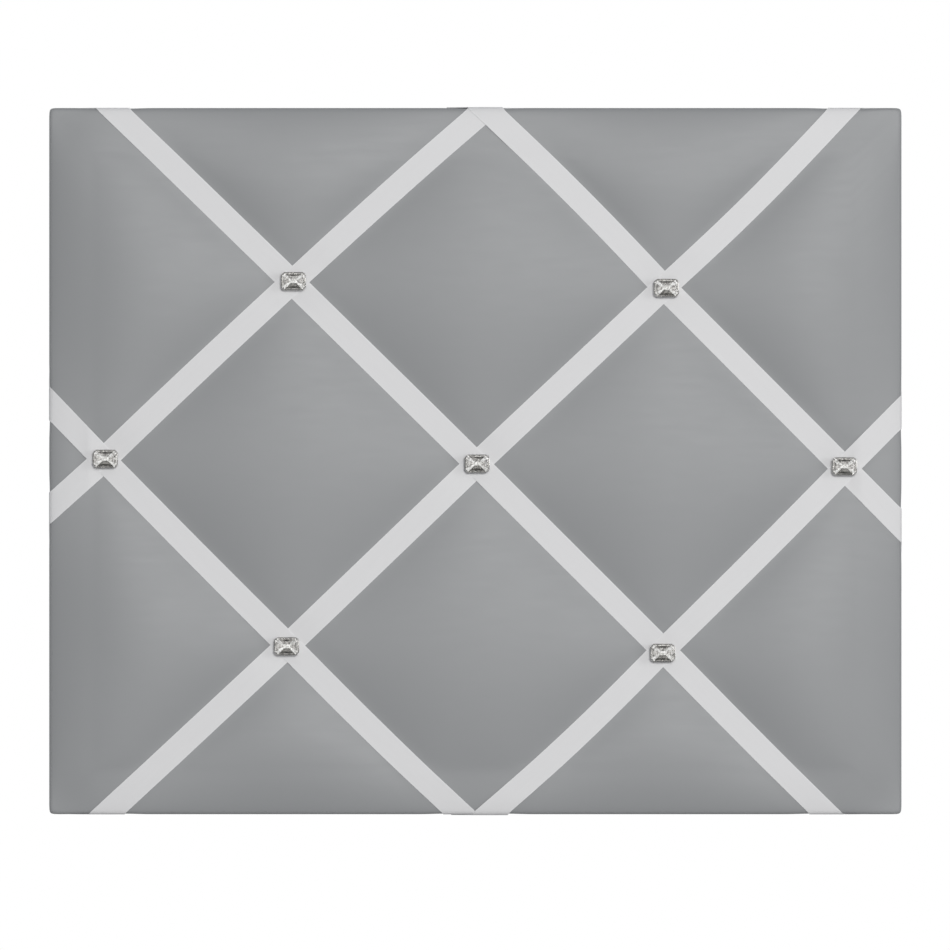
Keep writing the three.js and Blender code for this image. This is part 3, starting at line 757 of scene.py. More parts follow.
ribbonCut = {
    "width": 9.5,
    "thickness": 0.24,
    "gap": 0.03,  # over the cloth, or over the ribbon below
    "tail": 18.0,
    "drift": 10.5,  # sideways, on the way down the board's side
    "lanes": (-1, -0.95, -0.89, -0.6, -0.2, 0.2, 0.6, 0.89, 0.95, 1),
    "crown": 0.03,  # the middle is a little thicker
    "selvedge": 0.03,  # and so is the woven edge
    "selvedgeAt": 0.93,
    "selvedgeWidth": 0.05,
    "faceMargin": 1.5,  # rows that lie straight across end this far before the edge rolls over
    # the next four count along the lattice, where crossings are 1 apart
    "step": 0.02,  # between rows of points
    "ease": 0.04,  # the bends at the crossings are eased over this
    "faceLift": (0.055, 0.13),  # an upper ribbon lies over the lower one, and is down again
    "edgeLift": (0.13, 0.3),  # the same where they cross at the board's edge
    "marginSteps": 4,
    "sideSteps": 6,
    "backSteps": 4,
    "tailSteps": 2,
    "halvings": 30,  # to find where a lane meets the edge
    "sharpAngle": 50,
}
ribbonHalf = ribbonCut["width"] / 2 / latticeSide


# the padded cover

padding = {
    "valley": 2.7,  # the cloth's outer face over the core, under a ribbon
    "crown": 2.45,  # a diamond's swell before it is puffed
    "swellPower": 2.2,  # more is steeper beside the ribbons and flatter in the middle
    "flatBeside": 1.0,  # cloth that lies flat beside a ribbon
    "dimple": 0.9,  # how far a pinned crossing is drawn in
    "dimpleReach": 10.5,
    "rollWidth": 20.0,
    "edgeSwell": 1.4,  # the half diamonds at the edges are this much fuller
    "softEdge": 45.0,  # and die away over this distance from the board's edge
    "cornerTuck": 0.8,  # the folded corners are drawn down
    "tuckReach": 14.0,
    "edgePinch": 0.25,  # the ribbons draw the board's edge in by this
    "pinchFade": 6.0,  # and less and less beside them
    "sideRise": 1.2,  # the cloth's height over the core at the board's edge
    "edgeRadius": 0.9,  # the cloth's bend over the core's front edge
    "cornerRadius": 1.5,
    "leastRadius": 0.25,
    "cornerLine": 1.0,  # one more grid line, this close to the end, carries the corner
    "backRadius": 1.2,
    "clothThickness": 0.6,
    "gridStep": 3.0,
    "rollSteps": 12,
    "sideSteps": 5,
    "backSteps": 3,
    "hemSteps": 7,
}
hem = {
    "width": 24.0,
    "swell": 0.72,  # between the ribbon tails it swells until it meets the back panel
    "tailReach": 11.0,  # a tail goes on this far before and after its staple
    "tailHalf": 5.5,  # half its width, with a little room
    "tailFade": 5.0,
    "start": 2.0,  # the swell begins this far in from the board's edge
    "startFade": 4.0,
    "endFade": 6.0,
}
puff = {
    "pressure": 100.0,
    "frames": 16,
    "most": 2.0,  # no point moves further than this
    "ribbonFade": 6.0,  # the ribbons' hold is gone this far beside them
    "edgeHold": 3.0,  # the board's edge holds the cloth fast this far in
    "edgeFade": 36.0,
    "feel": {
        "quality": 6,
        "mass": 0.2,
        "tension_stiffness": 15,
        "compression_stiffness": 15,
        "shear_stiffness": 5,
        "bending_stiffness": 1.5,
    },
}
nearlyZero = 1e-6
sideTop = coreFront - padding["sideRise"] + padding["edgeRadius"]
sideEnd = hemBack - padding["backRadius"]
reachX, reachZ = halfWidth - padding["rollWidth"], halfHeight - padding["rollWidth"]


def gridLines(reach):
    inner = reach - padding["cornerLine"]
    count = round(2 * inner / padding["gridStep"])
    return np.concatenate([[-reach], np.linspace(-inner, inner, count + 1), [reach]])


linesX, linesZ = gridLines(reachX), gridLines(reachZ)
sheetCount = len(linesX) * len(linesZ)  # points on the face; the rings round it come after them
sheetFaces = gridFaces(len(linesX), len(linesZ))
sheetBorder = gridBorder(len(linesX), len(linesZ))


def fromLine(place):
    return np.min([np.abs(place - line) for line in lattice["lines"]], axis=0)


def besideRibbon(x, z):
    # distance from the side of the nearest ribbon
    a, b = latticePlace(x, z)
    return (np.minimum(fromLine(a), fromLine(b)) - ribbonHalf) * latticeSide


def swell(place):
    # 0 beside a ribbon, 1 half way between two
    start = ribbonHalf + padding["flatBeside"] / latticeSide
    opened = np.clip((fromLine(place) - start) / (0.5 - start), 0, 1)
    return 1 - (1 - opened) ** padding["swellPower"]


def dimpleDepth(x, z):
    depth = np.zeros_like(x)
    for stoneX, stoneZ in stonePlaces.values():
        depth += np.exp(-((x - stoneX) ** 2 + (z - stoneZ) ** 2) / padding["dimpleReach"] ** 2)
    return padding["dimple"] * depth


def rollShare(inset):
    # the rolled edge: 0 at the board's edge, 1 where the face begins
    fromFace = 1 - np.clip(inset / padding["rollWidth"], 0, 1)
    return np.sqrt(1 - fromFace ** 2)


def softShare(inset):
    return np.sin(np.clip(inset / padding["softEdge"], 0, 1) * math.pi / 2)


def edgeDrop(inset):
    share = max(1 - inset / padding["edgeRadius"], 0)
    return padding["edgeRadius"] * (1 - math.sqrt(1 - share ** 2))


def clothHeight(x, z):
    # the cloth's outer face over the core
    a, b = latticePlace(x, z)
    inX, inZ = halfWidth - np.abs(x), halfHeight - np.abs(z)
    tucked = 1 - padding["cornerTuck"] * np.exp(-(inX ** 2 + inZ ** 2) / padding["tuckReach"] ** 2)
    rolled = rollShare(inX) * rollShare(inZ) * tucked
    soft = softShare(inX) * softShare(inZ)
    fuller = np.where(np.maximum(np.abs(a), np.abs(b)) > 1, padding["edgeSwell"], 1.0)
    valley = padding["valley"] - padding["sideRise"] - dimpleDepth(x, z)
    under = padding["sideRise"] + valley * rolled
    return under + padding["crown"] * fuller * swell(a) * swell(b) * soft * tucked


def pinchDepth(x, z):
    return padding["edgePinch"] * (1 - eased(besideRibbon(x, z) / padding["pinchFade"]))


def hemRise(x, z, inset):
    # how far the hem swells out from the core's back, clear of the ribbon tails
    nearest = np.full(len(x), np.inf)
    for stapleX, stapleZ in staplePlaces:
        asideX, asideZ = np.abs(x - stapleX), np.abs(z - stapleZ)
        onSide = halfWidth - abs(stapleX) < halfHeight - abs(stapleZ)
        along, across = (asideZ, asideX) if onSide else (asideX, asideZ)
        nearest = np.minimum(nearest, np.maximum(along, across - hem["tailReach"]))
    clear = eased((nearest - hem["tailHalf"]) / hem["tailFade"])
    started = eased((inset - hem["start"]) / hem["startFade"])
    return hem["swell"] * clear * started * eased((hem["width"] - inset) / hem["endFade"])


def wrapProfile():
    # from the face's edge over the roll, down the side and under the hem:
    # inset, y (None on the roll, where it follows the padding), how much the ribbons draw it in
    back = padding["backRadius"]
    rollSteps, sideSteps = padding["rollSteps"], padding["sideSteps"]
    backSteps, hemSteps = padding["backSteps"], padding["hemSteps"]
    rows = []
    for step in range(1, rollSteps + 1):
        turned = math.sin(step / rollSteps * math.pi / 2)
        rows.append((padding["rollWidth"] * (1 - turned), None, turned))
    for step in range(1, sideSteps + 1):
        share = step / sideSteps
        rows.append((0.0, sideTop + (sideEnd - sideTop) * share, 1 - share))
    for step in range(1, backSteps + 1):
        angle = step / backSteps * math.pi / 2
        rows.append((back * (1 - math.cos(angle)), sideEnd + back * math.sin(angle), 0.0))
    for step in range(1, hemSteps + 1):
        rows.append((back + (hem["width"] - back) * step / hemSteps, hemBack, 0.0))
    return rows


def ringRadius(inset, onRoll):
    if onRoll:
        return padding["cornerRadius"] * (1 - inset / padding["rollWidth"])
    return max(padding["cornerRadius"] - inset, padding["leastRadius"])


def coverShape():
    # points, their places on the flat cloth, and the length of cloth from the face to the hem's end
    gridX, gridZ = [part.ravel() for part in np.meshgrid(linesX, linesZ)]
    points = [np.column_stack([gridX, coreFront - clothHeight(gridX, gridZ), gridZ])]
    flat = [np.column_stack([gridX, gridZ])]
    border = flat[0][sheetBorder]
    borderX, borderZ = border[:, 0], border[:, 1]
    signX, signZ = np.sign(borderX), np.sign(borderZ)
    onSide = np.abs(np.abs(borderX) - reachX) < nearlyZero
    onEnd = np.abs(np.abs(borderZ) - reachZ) < nearlyZero
    corner = onSide & onEnd
    outwards = np.column_stack([signX * onSide, signZ * onEnd])
    spreadX = borderX / (reachX - padding["cornerLine"])
    spreadZ = borderZ / (reachZ - padding["cornerLine"])
    length = 0.0
    before = None
    for inset, y, drawn in wrapProfile():
        radius = ringRadius(inset, y is None)
        outX, outZ = halfWidth - inset, halfHeight - inset
        x = np.where(onSide, signX * outX, spreadX * (outX - radius))
        z = np.where(onEnd, signZ * outZ, spreadZ * (outZ - radius))
        pulled = radius * (1 - math.sqrt(0.5))
        x = np.where(corner, signX * (outX - pulled), x)
        z = np.where(corner, signZ * (outZ - pulled), z)
        if y is not None:
            ringY = y + hemRise(x, z, inset)
        elif inset < nearlyZero:
            ringY = np.full(len(x), sideTop)
        else:
            ringY = coreFront - clothHeight(x, z) + edgeDrop(inset)
        pinch = drawn * pinchDepth(x, z)
        x, z = x - outwards[:, 0] * pinch, z - outwards[:, 1] * pinch
        now = np.array([inset, ringY.mean()])
        length += padding["rollWidth"] - inset if before is None else np.linalg.norm(now - before)
        before = now
        points.append(np.column_stack([x, ringY, z]))
        flat.append(border + outwards * length)
    return points, flat, length


def heldShares(points):
    # 1 where the cloth is held fast by ribbons, edges and staples, 0 where it can puff
    x, z = points[:, 0], points[:, 2]
    byRibbon = 1 - np.clip(besideRibbon(x, z) / puff["ribbonFade"], 0, 1)
    inset = np.minimum(halfWidth - np.abs(x), halfHeight - np.abs(z))
    byEdge = 1 - np.clip((inset - puff["edgeHold"]) / puff["edgeFade"], 0, 1)
    held = np.maximum(byRibbon ** 2, byEdge ** 2)
    held[sheetCount:] = 1
    return held


def puffCover(piece, held):
    group = piece.vertex_groups.new(name="held")
    for index, share in enumerate(held):
        group.add([index], float(share), "REPLACE")
    cloth = piece.modifiers.new("puff", "CLOTH")
    for label, value in puff["feel"].items():
        setattr(cloth.settings, label, value)
    cloth.settings.vertex_group_mass = "held"
    cloth.settings.use_pressure = True
    cloth.settings.uniform_pressure_force = puff["pressure"]
    cloth.settings.effector_weights.gravity = 0
    cloth.collision_settings.use_collision = False
    cloth.collision_settings.use_self_collision = False
    cloth.point_cache.frame_end = puff["frames"]
    for step in range(1, puff["frames"] + 1):
        scene.frame_set(step)
    shown = piece.evaluated_get(bpy.context.evaluated_depsgraph_get())
    puffed = np.zeros(len(piece.data.vertices) * 3, np.float32)
    shown.data.vertices.foreach_get("co", puffed)
    piece.modifiers.remove(cloth)
    piece.vertex_groups.remove(group)
    scene.frame_set(1)
    return puffed.reshape(-1, 3) / mm


def makeCover():
    rings, flat, wrap = coverShape()
    points = np.concatenate(rings)
    faces = sheetFaces + skirtFaces(sheetBorder, len(rings) - 1, sheetCount)
    piece = addPiece("cloth_cover", points, faces, [sateen])
    giveFlat(piece, np.concatenate(flat) * mm)
    moved = puffCover(piece, heldShares(points)) - points
    size = np.linalg.norm(moved, axis=1, keepdims=True)
    moved *= np.minimum(1, puff["most"] / np.maximum(size, nearlyZero))
    print("cover puffed by up to", round(float(size.max()), 2), "mm")
    points = points + moved
    piece.data.vertices.foreach_set("co", (points * mm).astype(np.float32).ravel())
    piece.data.update()
    thick = piece.modifiers.new("thickness", "SOLIDIFY")
    thick.thickness = padding["clothThickness"] * mm
    thick.offset = -1
    smooth = piece.modifiers.new("smooth", "SUBSURF")
    smooth.levels = 1
    smooth.render_levels = 1
    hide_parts("fabric_cover")
    return points


coverPoints = makeCover()


# the wadding under the cover

waddingCut = {
    "gap": 0.25,  # under the cloth
    "least": 0.1,  # over the core
    "coreGap": 0.02,
}


def makeWaddingPad():
    clear = padding["clothThickness"] + waddingCut["gap"]
    sides, rollSteps = len(sheetBorder), padding["rollSteps"]
    points = [coverPoints[:sheetCount] + np.array([0, clear, 0])]
    for ring in range(rollSteps + 1):
        start = sheetCount + min(ring, rollSteps - 1) * sides
        row = coverPoints[start:start + sides].copy()
        row[:, 0] -= np.sign(row[:, 0]) * clear * (np.abs(row[:, 0]) > reachX)
        row[:, 2] -= np.sign(row[:, 2]) * clear * (np.abs(row[:, 2]) > reachZ)
        row[:, 1] = np.minimum(row[:, 1] + clear, coreFront - waddingCut["least"])
        if ring == rollSteps:
            row[:, 1] = coreFront - waddingCut["coreGap"]
        points.append(row)
    faces = sheetFaces + skirtFaces(sheetBorder, rollSteps + 1, sheetCount)
    lastRing = sheetCount + rollSteps * sides
    faces.append(tuple(range(lastRing, lastRing + sides)))
    piece = addPiece("wadding_pad", np.concatenate(points), faces, [wadding])
    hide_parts("batting")


makeWaddingPad()
print("wadding made")


# ribbons: the line each follows, the edges where it starts and ends, the lines that it crosses over

ribbonRuns = {
    "long_falling": {"falling": True, "line": 0, "edges": ("bottom", "top"), "over": (0,)},
    "right_falling": {"falling": True, "line": 1, "edges": ("right", "top"), "over": (1,)},
    "left_falling": {"falling": True, "line": -1, "edges": ("bottom", "left"), "over": (1, 0)},
    "left_rising": {"falling": False, "line": 1, "edges": ("left", "top"), "over": (0,)},
    "long_rising": {"falling": False, "line": 0, "edges": ("bottom", "top"), "over": (1,)},
    "right_rising": {"falling": False, "line": -1, "edges": ("bottom", "right"), "over": (0, 1, -1)},
}
# each edge's distance from the board's middle, and its way outwards
boardEdges = {
    "top": (halfHeight, 0, 1),
    "bottom": (halfHeight, 0, -1),
    "left": (halfWidth, -1, 0),
    "right": (halfWidth, 1, 0),
}
lanes = np.array(ribbonCut["lanes"], float)  # across a ribbon, from -1 to 1


def lanePlaces(run, across, alongs):
    # eased a little at the crossings, where the lattice bends
    aside = run["line"] + across * ribbonHalf
    places = []
    for ease in (-ribbonCut["ease"], 0, ribbonCut["ease"]):
        a, b = (aside, alongs + ease) if run["falling"] else (alongs + ease, aside)
        places.append(latticePoint(a, b))
    return np.mean(places, axis=0)


def insideEdge(edge, x, z):
    half, outX, outZ = edge
    return half - x * outX - z * outZ


def lanesAtEdge(run, edge, inset, direction):
    # how far along the ribbon each lane has come when it is this near to the board's edge,
    # found by halving the way that is left
    near, far = np.zeros(len(lanes)), np.full(len(lanes), lattice["reach"] * direction)
    for _ in range(ribbonCut["halvings"]):
        middle = (near + far) / 2
        inside = insideEdge(edge, *lanePlaces(run, lanes, middle)) > inset
        near, far = np.where(inside, middle, near), np.where(inside, far, middle)
    return near


def alongEdge(run, edge, alongs):
    # where the lanes lie along the board's edge
    _, outX, _ = edge
    x, z = lanePlaces(run, lanes, alongs)
    return x if outX == 0 else z


def edgePlaces(edge, places, out, y):
    # points at these places along the board's edge, this far out from it
    half, outX, outZ = edge
    reach = half + out
    return [(place, y, reach * outZ) if outX == 0 else (reach * outX, y, place) for place in places]


def crossingLift(run, along):
    most = 0.0
    for crossed in run["over"]:
        atEdge = run["line"] * crossed == 1
        full, none = ribbonCut["edgeLift" if atEdge else "faceLift"]
        most = max(most, eased((none - abs(along - crossed)) / (none - full)))
    return most * (ribbonCut["thickness"] + ribbonCut["crown"] + ribbonCut["gap"])


fromSelvedge = (np.abs(lanes) - ribbonCut["selvedgeAt"]) / ribbonCut["selvedgeWidth"]
laneRise = ribbonCut["selvedge"] * np.exp(-fromSelvedge ** 2) + ribbonCut["crown"] * (1 - lanes ** 2)


def ribbonRow(places, normal, rise):
    # lower points, then upper points back again, one for each lane
    lower = np.asarray(places) + np.asarray(normal) * rise
    upper = lower + np.outer(ribbonCut["thickness"] + laneRise, normal)
    return np.concatenate([lower, upper[::-1]])


def faceRow(run, alongs):
    x, z = lanePlaces(run, lanes, alongs)
    height = clothHeight(*lanePlaces(run, np.zeros(len(lanes)), alongs))
    rise = ribbonCut["gap"] + crossingLift(run, alongs.mean())
    return ribbonRow(np.column_stack([x, coreFront - height, z]), (0, -1, 0), rise)


def rollRows(run, edge, direction):
    # over the rolled edge; the places of the lanes at the edge and the lift there go on to the tail
    _, outX, outZ = edge
    roll, steps = padding["rollWidth"], padding["rollSteps"]
    height = padding["valley"] - padding["sideRise"]
    steepest = 0.999
    rows = []
    for step in range(1, steps + 1):
        angle = step / steps * math.pi / 2
        inset = roll * (1 - math.sin(angle))
        alongs = lanesAtEdge(run, edge, inset, direction)
        rise = ribbonCut["gap"] + crossingLift(run, alongs.mean())
        y = coreFront - padding["sideRise"] - height * math.cos(angle) + edgeDrop(inset)
        bend = min(max(1 - inset / padding["edgeRadius"], 0), steepest)
        steep = bend / math.sqrt(1 - bend ** 2)
        level = roll * math.cos(angle)
        tilt = np.array([height * math.sin(angle) + steep * level, level])
        tilt /= np.linalg.norm(tilt)
        normal = (outX * tilt[0], -tilt[1], outZ * tilt[0])
        out = -inset - padding["edgePinch"] * math.sin(angle)
        atEdge = alongEdge(run, edge, alongs)
        rows.append(ribbonRow(edgePlaces(edge, atEdge, out, y), normal, rise))
    return rows, atEdge, rise


def tailRows(edge, atRoll, atEdge, rise):
    # slantwise down the board's side, round its back edge and along the hem
    _, outX, outZ = edge
    gap, back = ribbonCut["gap"], padding["backRadius"]
    sideSteps, backSteps = ribbonCut["sideSteps"], ribbonCut["backSteps"]
    tailSteps = ribbonCut["tailSteps"]
    middle = (atEdge[0] + atEdge[-1]) / 2
    heading = math.copysign(1, middle - (atRoll[0] + atRoll[-1]) / 2)
    order = math.copysign(1, atEdge[-1] - atEdge[0])
    atTail = middle + heading * ribbonCut["drift"] + order * lanes * ribbonCut["width"] / 2
    rows = []
    for step in range(1, sideSteps + 1):
        share = step / sideSteps
        y, out = sideTop + (sideEnd - sideTop) * share, padding["edgePinch"] * (share - 1)
        places = edgePlaces(edge, atEdge + (atTail - atEdge) * share, out, y)
        rows.append(ribbonRow(places, (outX, 0, outZ), rise))
    for step in range(1, backSteps + 1):
        angle = step / backSteps * math.pi / 2
        aside, behind = math.cos(angle), math.sin(angle)
        places = edgePlaces(edge, atTail, -back * (1 - aside), sideEnd + back * behind)
        rows.append(ribbonRow(places, (outX * aside, behind, outZ * aside), gap))
    for step in range(1, tailSteps + 1):
        out = -back - (ribbonCut["tail"] - back) * step / tailSteps
        rows.append(ribbonRow(edgePlaces(edge, atTail, out, hemBack), (0, 1, 0), gap))
    return rows


def edgeRows(run, edge, direction, faceEnd):
    # from the last row that lies straight across the ribbon to the end of its tail
    steps = ribbonCut["marginSteps"]
    atRoll = lanesAtEdge(run, edge, padding["rollWidth"], direction)
    rows = [faceRow(run, faceEnd + (atRoll - faceEnd) * step / steps) for step in range(1, steps + 1)]
    rolled, atEdge, rise = rollRows(run, edge, direction)
    return rows + rolled + tailRows(edge, alongEdge(run, edge, atRoll), atEdge, rise)


def makeRibbon(name, run):
    startEdge, endEdge = [boardEdges[label] for label in run["edges"]]
    clear = padding["rollWidth"] + ribbonCut["faceMargin"]
    spread = np.arange(-lattice["reach"], lattice["reach"], ribbonCut["step"])
    isFace = np.full(len(spread), True)
    for side in (-1, 1):
        places = lanePlaces(run, np.full(len(spread), side), spread)
        for edge in (startEdge, endEdge):
            isFace &= insideEdge(edge, *places) > clear
    onFace = spread[isFace]
    rows = edgeRows(run, startEdge, -1, onFace[0])[::-1]
    rows += [faceRow(run, np.full(len(lanes), along)) for along in onFace]
    rows += edgeRows(run, endEdge, 1, onFace[-1])
    faces = loftFaces(len(rows), 2 * len(lanes))
    piece = addPiece(
        "satin_ribbon_" + name,
        np.concatenate(rows),
        faces,
        [satin],
        sharpAngle=ribbonCut["sharpAngle"],
    )
    lengths = lengthsAlong([row.mean(axis=0) for row in rows])
    acrossRow = [*lanes, *lanes[::-1]]
    giveFlat(piece, [(length * mm, across) for length in lengths for across in acrossRow])
    turnOutwards(piece)
    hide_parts("ribbon_" + name)
    print("ribbon", name, "is", round(lengths[-1]), "mm long")


for name, run in ribbonRuns.items():
    makeRibbon(name, run)


# stones

stoneSides = 8
stoneCut = {
    "halfWidth": 4.6,
    "halfHeight": 3.25,
    "cornerCut": 1.05,
    "crown": 0.7,  # the table's height over the girdle
    "girdle": 0.4,
    "tableInset": 1.3,
    "starInset": 0.6,
    "starShare": 0.55,  # of the crown's height
    # rings of the back: half-width, half-height, corner cut, depth behind the girdle
    "back": [(3.95, 2.6, 0.95, -0.12), (1.5, 0.75, 0.45, 0.44)],
    # finishes by number: 0 is the crystal, 1 to 3 are the foil with painted highlight, painted half
    # shade and painted shade
    # the girdle takes the foil with the painted highlight
    "girdlePaintedHighlight": 1,
    # each back facet's foil: painted highlight on the corners, painted half shade on the sides and
    # top, painted shade on the bottom
    "facetPaintedShades": (2, 1, 2, 1, 2, 1, 3, 1),  # from the right side round by the top
    # the flat at the back takes the foil with the painted highlight
    "flatPaintedHighlight": 1,  # on the flat at the back
}


def cutRectangle(halfX, halfZ, cut):
    return [
        (halfX, cut - halfZ), (halfX, halfZ - cut), (halfX - cut, halfZ), (cut - halfX, halfZ),
        (-halfX, halfZ - cut), (-halfX, cut - halfZ), (cut - halfX, -halfZ), (halfX - cut, -halfZ),
    ]


def stoneOutline(grow):
    cut = stoneCut["cornerCut"] + grow * (2 - math.sqrt(2))
    return cutRectangle(stoneCut["halfWidth"] + grow, stoneCut["halfHeight"] + grow, cut)


def sideMiddles(inset):
    corners = np.array(stoneOutline(-inset))
    return [tuple(place) for place in (corners + np.roll(corners, -1, axis=0)) / 2]


def starFaces(corners, middles):
    # triangles between a ring of corners and the ring of points at the middles of its sides
    faces = []
    for side in range(stoneSides):
        following = (side + 1) % stoneSides
        faces.append((corners + side, corners + following, middles + side))
        faces.append((corners + following, middles + following, middles + side))
    return faces


def makeStone(name):
    stoneX, stoneZ = stonePlaces[name]
    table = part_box("stone_" + name)[0].y / mm
    girdleFront = table + stoneCut["crown"]
    girdleBack = girdleFront + stoneCut["girdle"]
    star = girdleFront - stoneCut["crown"] * stoneCut["starShare"]
    rings = [
        (stoneOutline(-stoneCut["tableInset"]), table),
        (sideMiddles(stoneCut["starInset"]), star),
        (stoneOutline(0), girdleFront),
        (stoneOutline(0), girdleBack),
    ]
    rings += [(cutRectangle(*sizes), girdleBack + depth) for *sizes, depth in stoneCut["back"]]
    points = [(stoneX + x, y, stoneZ + z) for outline, y in rings for x, z in outline]
    tableRing, starRing, girdleRing, *backRings = range(0, len(points), stoneSides)
    faces = [tuple(range(stoneSides))]
    for ring in (tableRing, girdleRing):
        faces += starFaces(ring, starRing)
    # the crown is crystal; the girdle and back facets take foils with painted highlight, painted half
    # shade and painted shade
    faceFinish = [0] * len(faces) + [stoneCut["girdlePaintedHighlight"]] * stoneSides
    for ring in (girdleRing, *backRings[:-1]):
        faces += bandFaces(ring, ring + stoneSides, stoneSides)
    faces.append(tuple(range(backRings[-1], len(points))))
    faceFinish += [*stoneCut["facetPaintedShades"], *stoneCut["facetPaintedShades"], stoneCut["flatPaintedHighlight"]]
    piece = addPiece("cut_stone_" + name, points, faces, [crystal, *paintedShadeFoils], faceFinish=faceFinish)
    piece.data.shade_flat()
    turnOutwards(piece)
    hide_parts("stone_" + name)
    return girdleFront


# settings

settingCut = {
    "gap": 0.06,
    "wall": 0.3,
    "floor": 0.4,
    "lift": 0.2,  # of the cup's back over the pressed ribbons
    # bends of the cup's section, sideways and in y, counted from its wall at its back or its rim
    "foot": [(-0.7, 0), (-0.1, -0.15), (0, -0.6)],
    "lip": [(0, 0.25), (-0.08, 0.06), (-0.2, 0)],
    "bore": [(0.05, 0.04), (0, 0.2)],
    "clawRadius": 0.34,
    "clawInset": 0.05,  # from the wall's outer side
    "clawFoot": 1.1,  # a claw starts this far behind the girdle
    "clawRise": 0.5,  # and ends this far in front of it
    "clawLean": 0.6,
    "leanFrom": 0.45,  # share of a claw's length where it begins to lean in
    "leanPower": 1.6,
    "tipFrom": 0.75,  # and where its tip begins to round off
    "tipEnd": 0.02,
    "clawSides": 10,
    "clawSteps": 9,
    "pinRadius": 0.65,
    "pinStart": 0.1,  # inside the cup's back
    "pinPoint": 1.2,  # length of its tapered point
    "pinEnd": 0.08,
    "pinSides": 12,
    "sharpAngle": 40,
}


def tubeRows(path, radii, sides):
    # rings of points round a path that starts along y
    path = np.asarray(path, float)
    tangents = np.gradient(path, axis=0)
    tangents /= np.linalg.norm(tangents, axis=1, keepdims=True)
    across = np.cross(tangents[0], (0, 0, 1))
    points = []
    for place, tangent, radius in zip(path, tangents, radii):
        across = across - tangent * (across @ tangent)
        across /= np.linalg.norm(across)
        upright = np.cross(tangent, across)
        for side in range(sides):
            angle = side / sides * 2 * math.pi
            points.append(place + radius * (math.cos(angle) * across + math.sin(angle) * upright))
    return points


def clawLine(foot, outwards, girdleFront):
    # the middle line of a claw from its foot to its tip, and its radii
    cut = settingCut
    path, radii = [], []
    for step in range(cut["clawSteps"] + 1):
        share = step / cut["clawSteps"]
        lean = max(0, share - cut["leanFrom"]) / (1 - cut["leanFrom"])
        tip = max(0, share - cut["tipFrom"]) / (1 - cut["tipFrom"])
        out = cut["gap"] + cut["wall"] - cut["clawInset"] - cut["clawLean"] * lean ** cut["leanPower"]
        y = girdleFront + cut["clawFoot"] - (cut["clawFoot"] + cut["clawRise"]) * share
        path.append(foot + outwards * out + np.array([0, y, 0]))
        radii.append(cut["clawRadius"] * math.sqrt(max(cut["tipEnd"], 1 - tip ** 2)))
    return path, radii


def makeSetting(name, girdleFront):
    cut = settingCut
    stoneX, stoneZ = stonePlaces[name]
    pressed = coreFront - padding["valley"] - 2 * ribbonCut["thickness"] + padding["dimple"]
    cupBack = pressed - cut["lift"]
    inner, outer = cut["gap"], cut["gap"] + cut["wall"]
    section = [(outer + aside, cupBack + y) for aside, y in cut["foot"]]
    section += [(outer + aside, girdleFront + y) for aside, y in cut["lip"]]
    section += [(inner + aside, girdleFront + y) for aside, y in cut["bore"]]
    section.append((inner, cupBack - cut["floor"]))
    points = [(stoneX + x, y, stoneZ + z) for grow, y in section for x, z in stoneOutline(grow)]
    faces = loftFaces(len(section), stoneSides)
    cornerX = stoneCut["halfWidth"] - stoneCut["cornerCut"] / 2
    cornerZ = stoneCut["halfHeight"] - stoneCut["cornerCut"] / 2
    for signX, signZ in ((1, 1), (1, -1), (-1, 1), (-1, -1)):
        foot = np.array([stoneX + signX * cornerX, 0, stoneZ + signZ * cornerZ])
        outwards = np.array([signX, 0, signZ]) / math.sqrt(2)
        path, radii = clawLine(foot, outwards, girdleFront)
        faces += loftFaces(len(path), cut["clawSides"], len(points))
        points += tubeRows(path, radii, cut["clawSides"])
    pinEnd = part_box("setting_" + name)[1].y / mm
    path = [(stoneX, y, stoneZ) for y in (cupBack - cut["pinStart"], pinEnd - cut["pinPoint"], pinEnd)]
    radii = [cut["pinRadius"], cut["pinRadius"], cut["pinEnd"]]
    faces += loftFaces(len(path), cut["pinSides"], len(points))
    points += tubeRows(path, radii, cut["pinSides"])
    piece = addPiece("claw_setting_" + name, points, faces, [silver], sharpAngle=cut["sharpAngle"])
    turnOutwards(piece)
    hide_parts("setting_" + name)


for name in stoneNames:
    makeSetting(name, makeStone(name))
print("stones set:", len(stoneNames))


# hangers on the back

ringCut = {
    "halfWidth": 7.0,
    "reach": 18.0,
    "corner": 2.0,
    "wire": 2.0,
    "cornerSteps": 8,
    "bowSteps": 32,
    "steps": 120,
    "sides": 18,
}
screwCut = {
    "head": 2.5,
    "rise": 1.4,
    "shank": 1.05,
    "tip": [(0.05, 0), (0.63, 1.2)],  # radius, and distance from the end
    "tipLength": 2.4,
    "brim": 0.3,  # share of the head's rise that is upright
    "shoulder": 0.9,  # and where its rounded edge ends
    "shoulderIn": 0.28,  # share of the head's radius that is rounded
    "shoulderSteps": 5,
    "top": 1.8,  # radius of the slightly domed top
    "topRings": (1.7, 1.55, 1.4, 1.2, 1.0, 0.8, 0.6, 0.45, 0.36, 0.28, 0.15, 0.05),
    "recess": 0.75,  # depth of the cross
    "recessReach": 1.5,
    "recessHalf": 0.33,
    "recessSlope": 0.45,  # shallower by this share at its ends
    "sides": 64,
    "sharpAngle": 35,
}


def arcPoints(middle, radius, start, turn, steps):
    x, z = middle
    angles = [start + step / steps * turn for step in range(steps + 1)]
    return [(x + radius * math.cos(angle), z + radius * math.sin(angle)) for angle in angles]


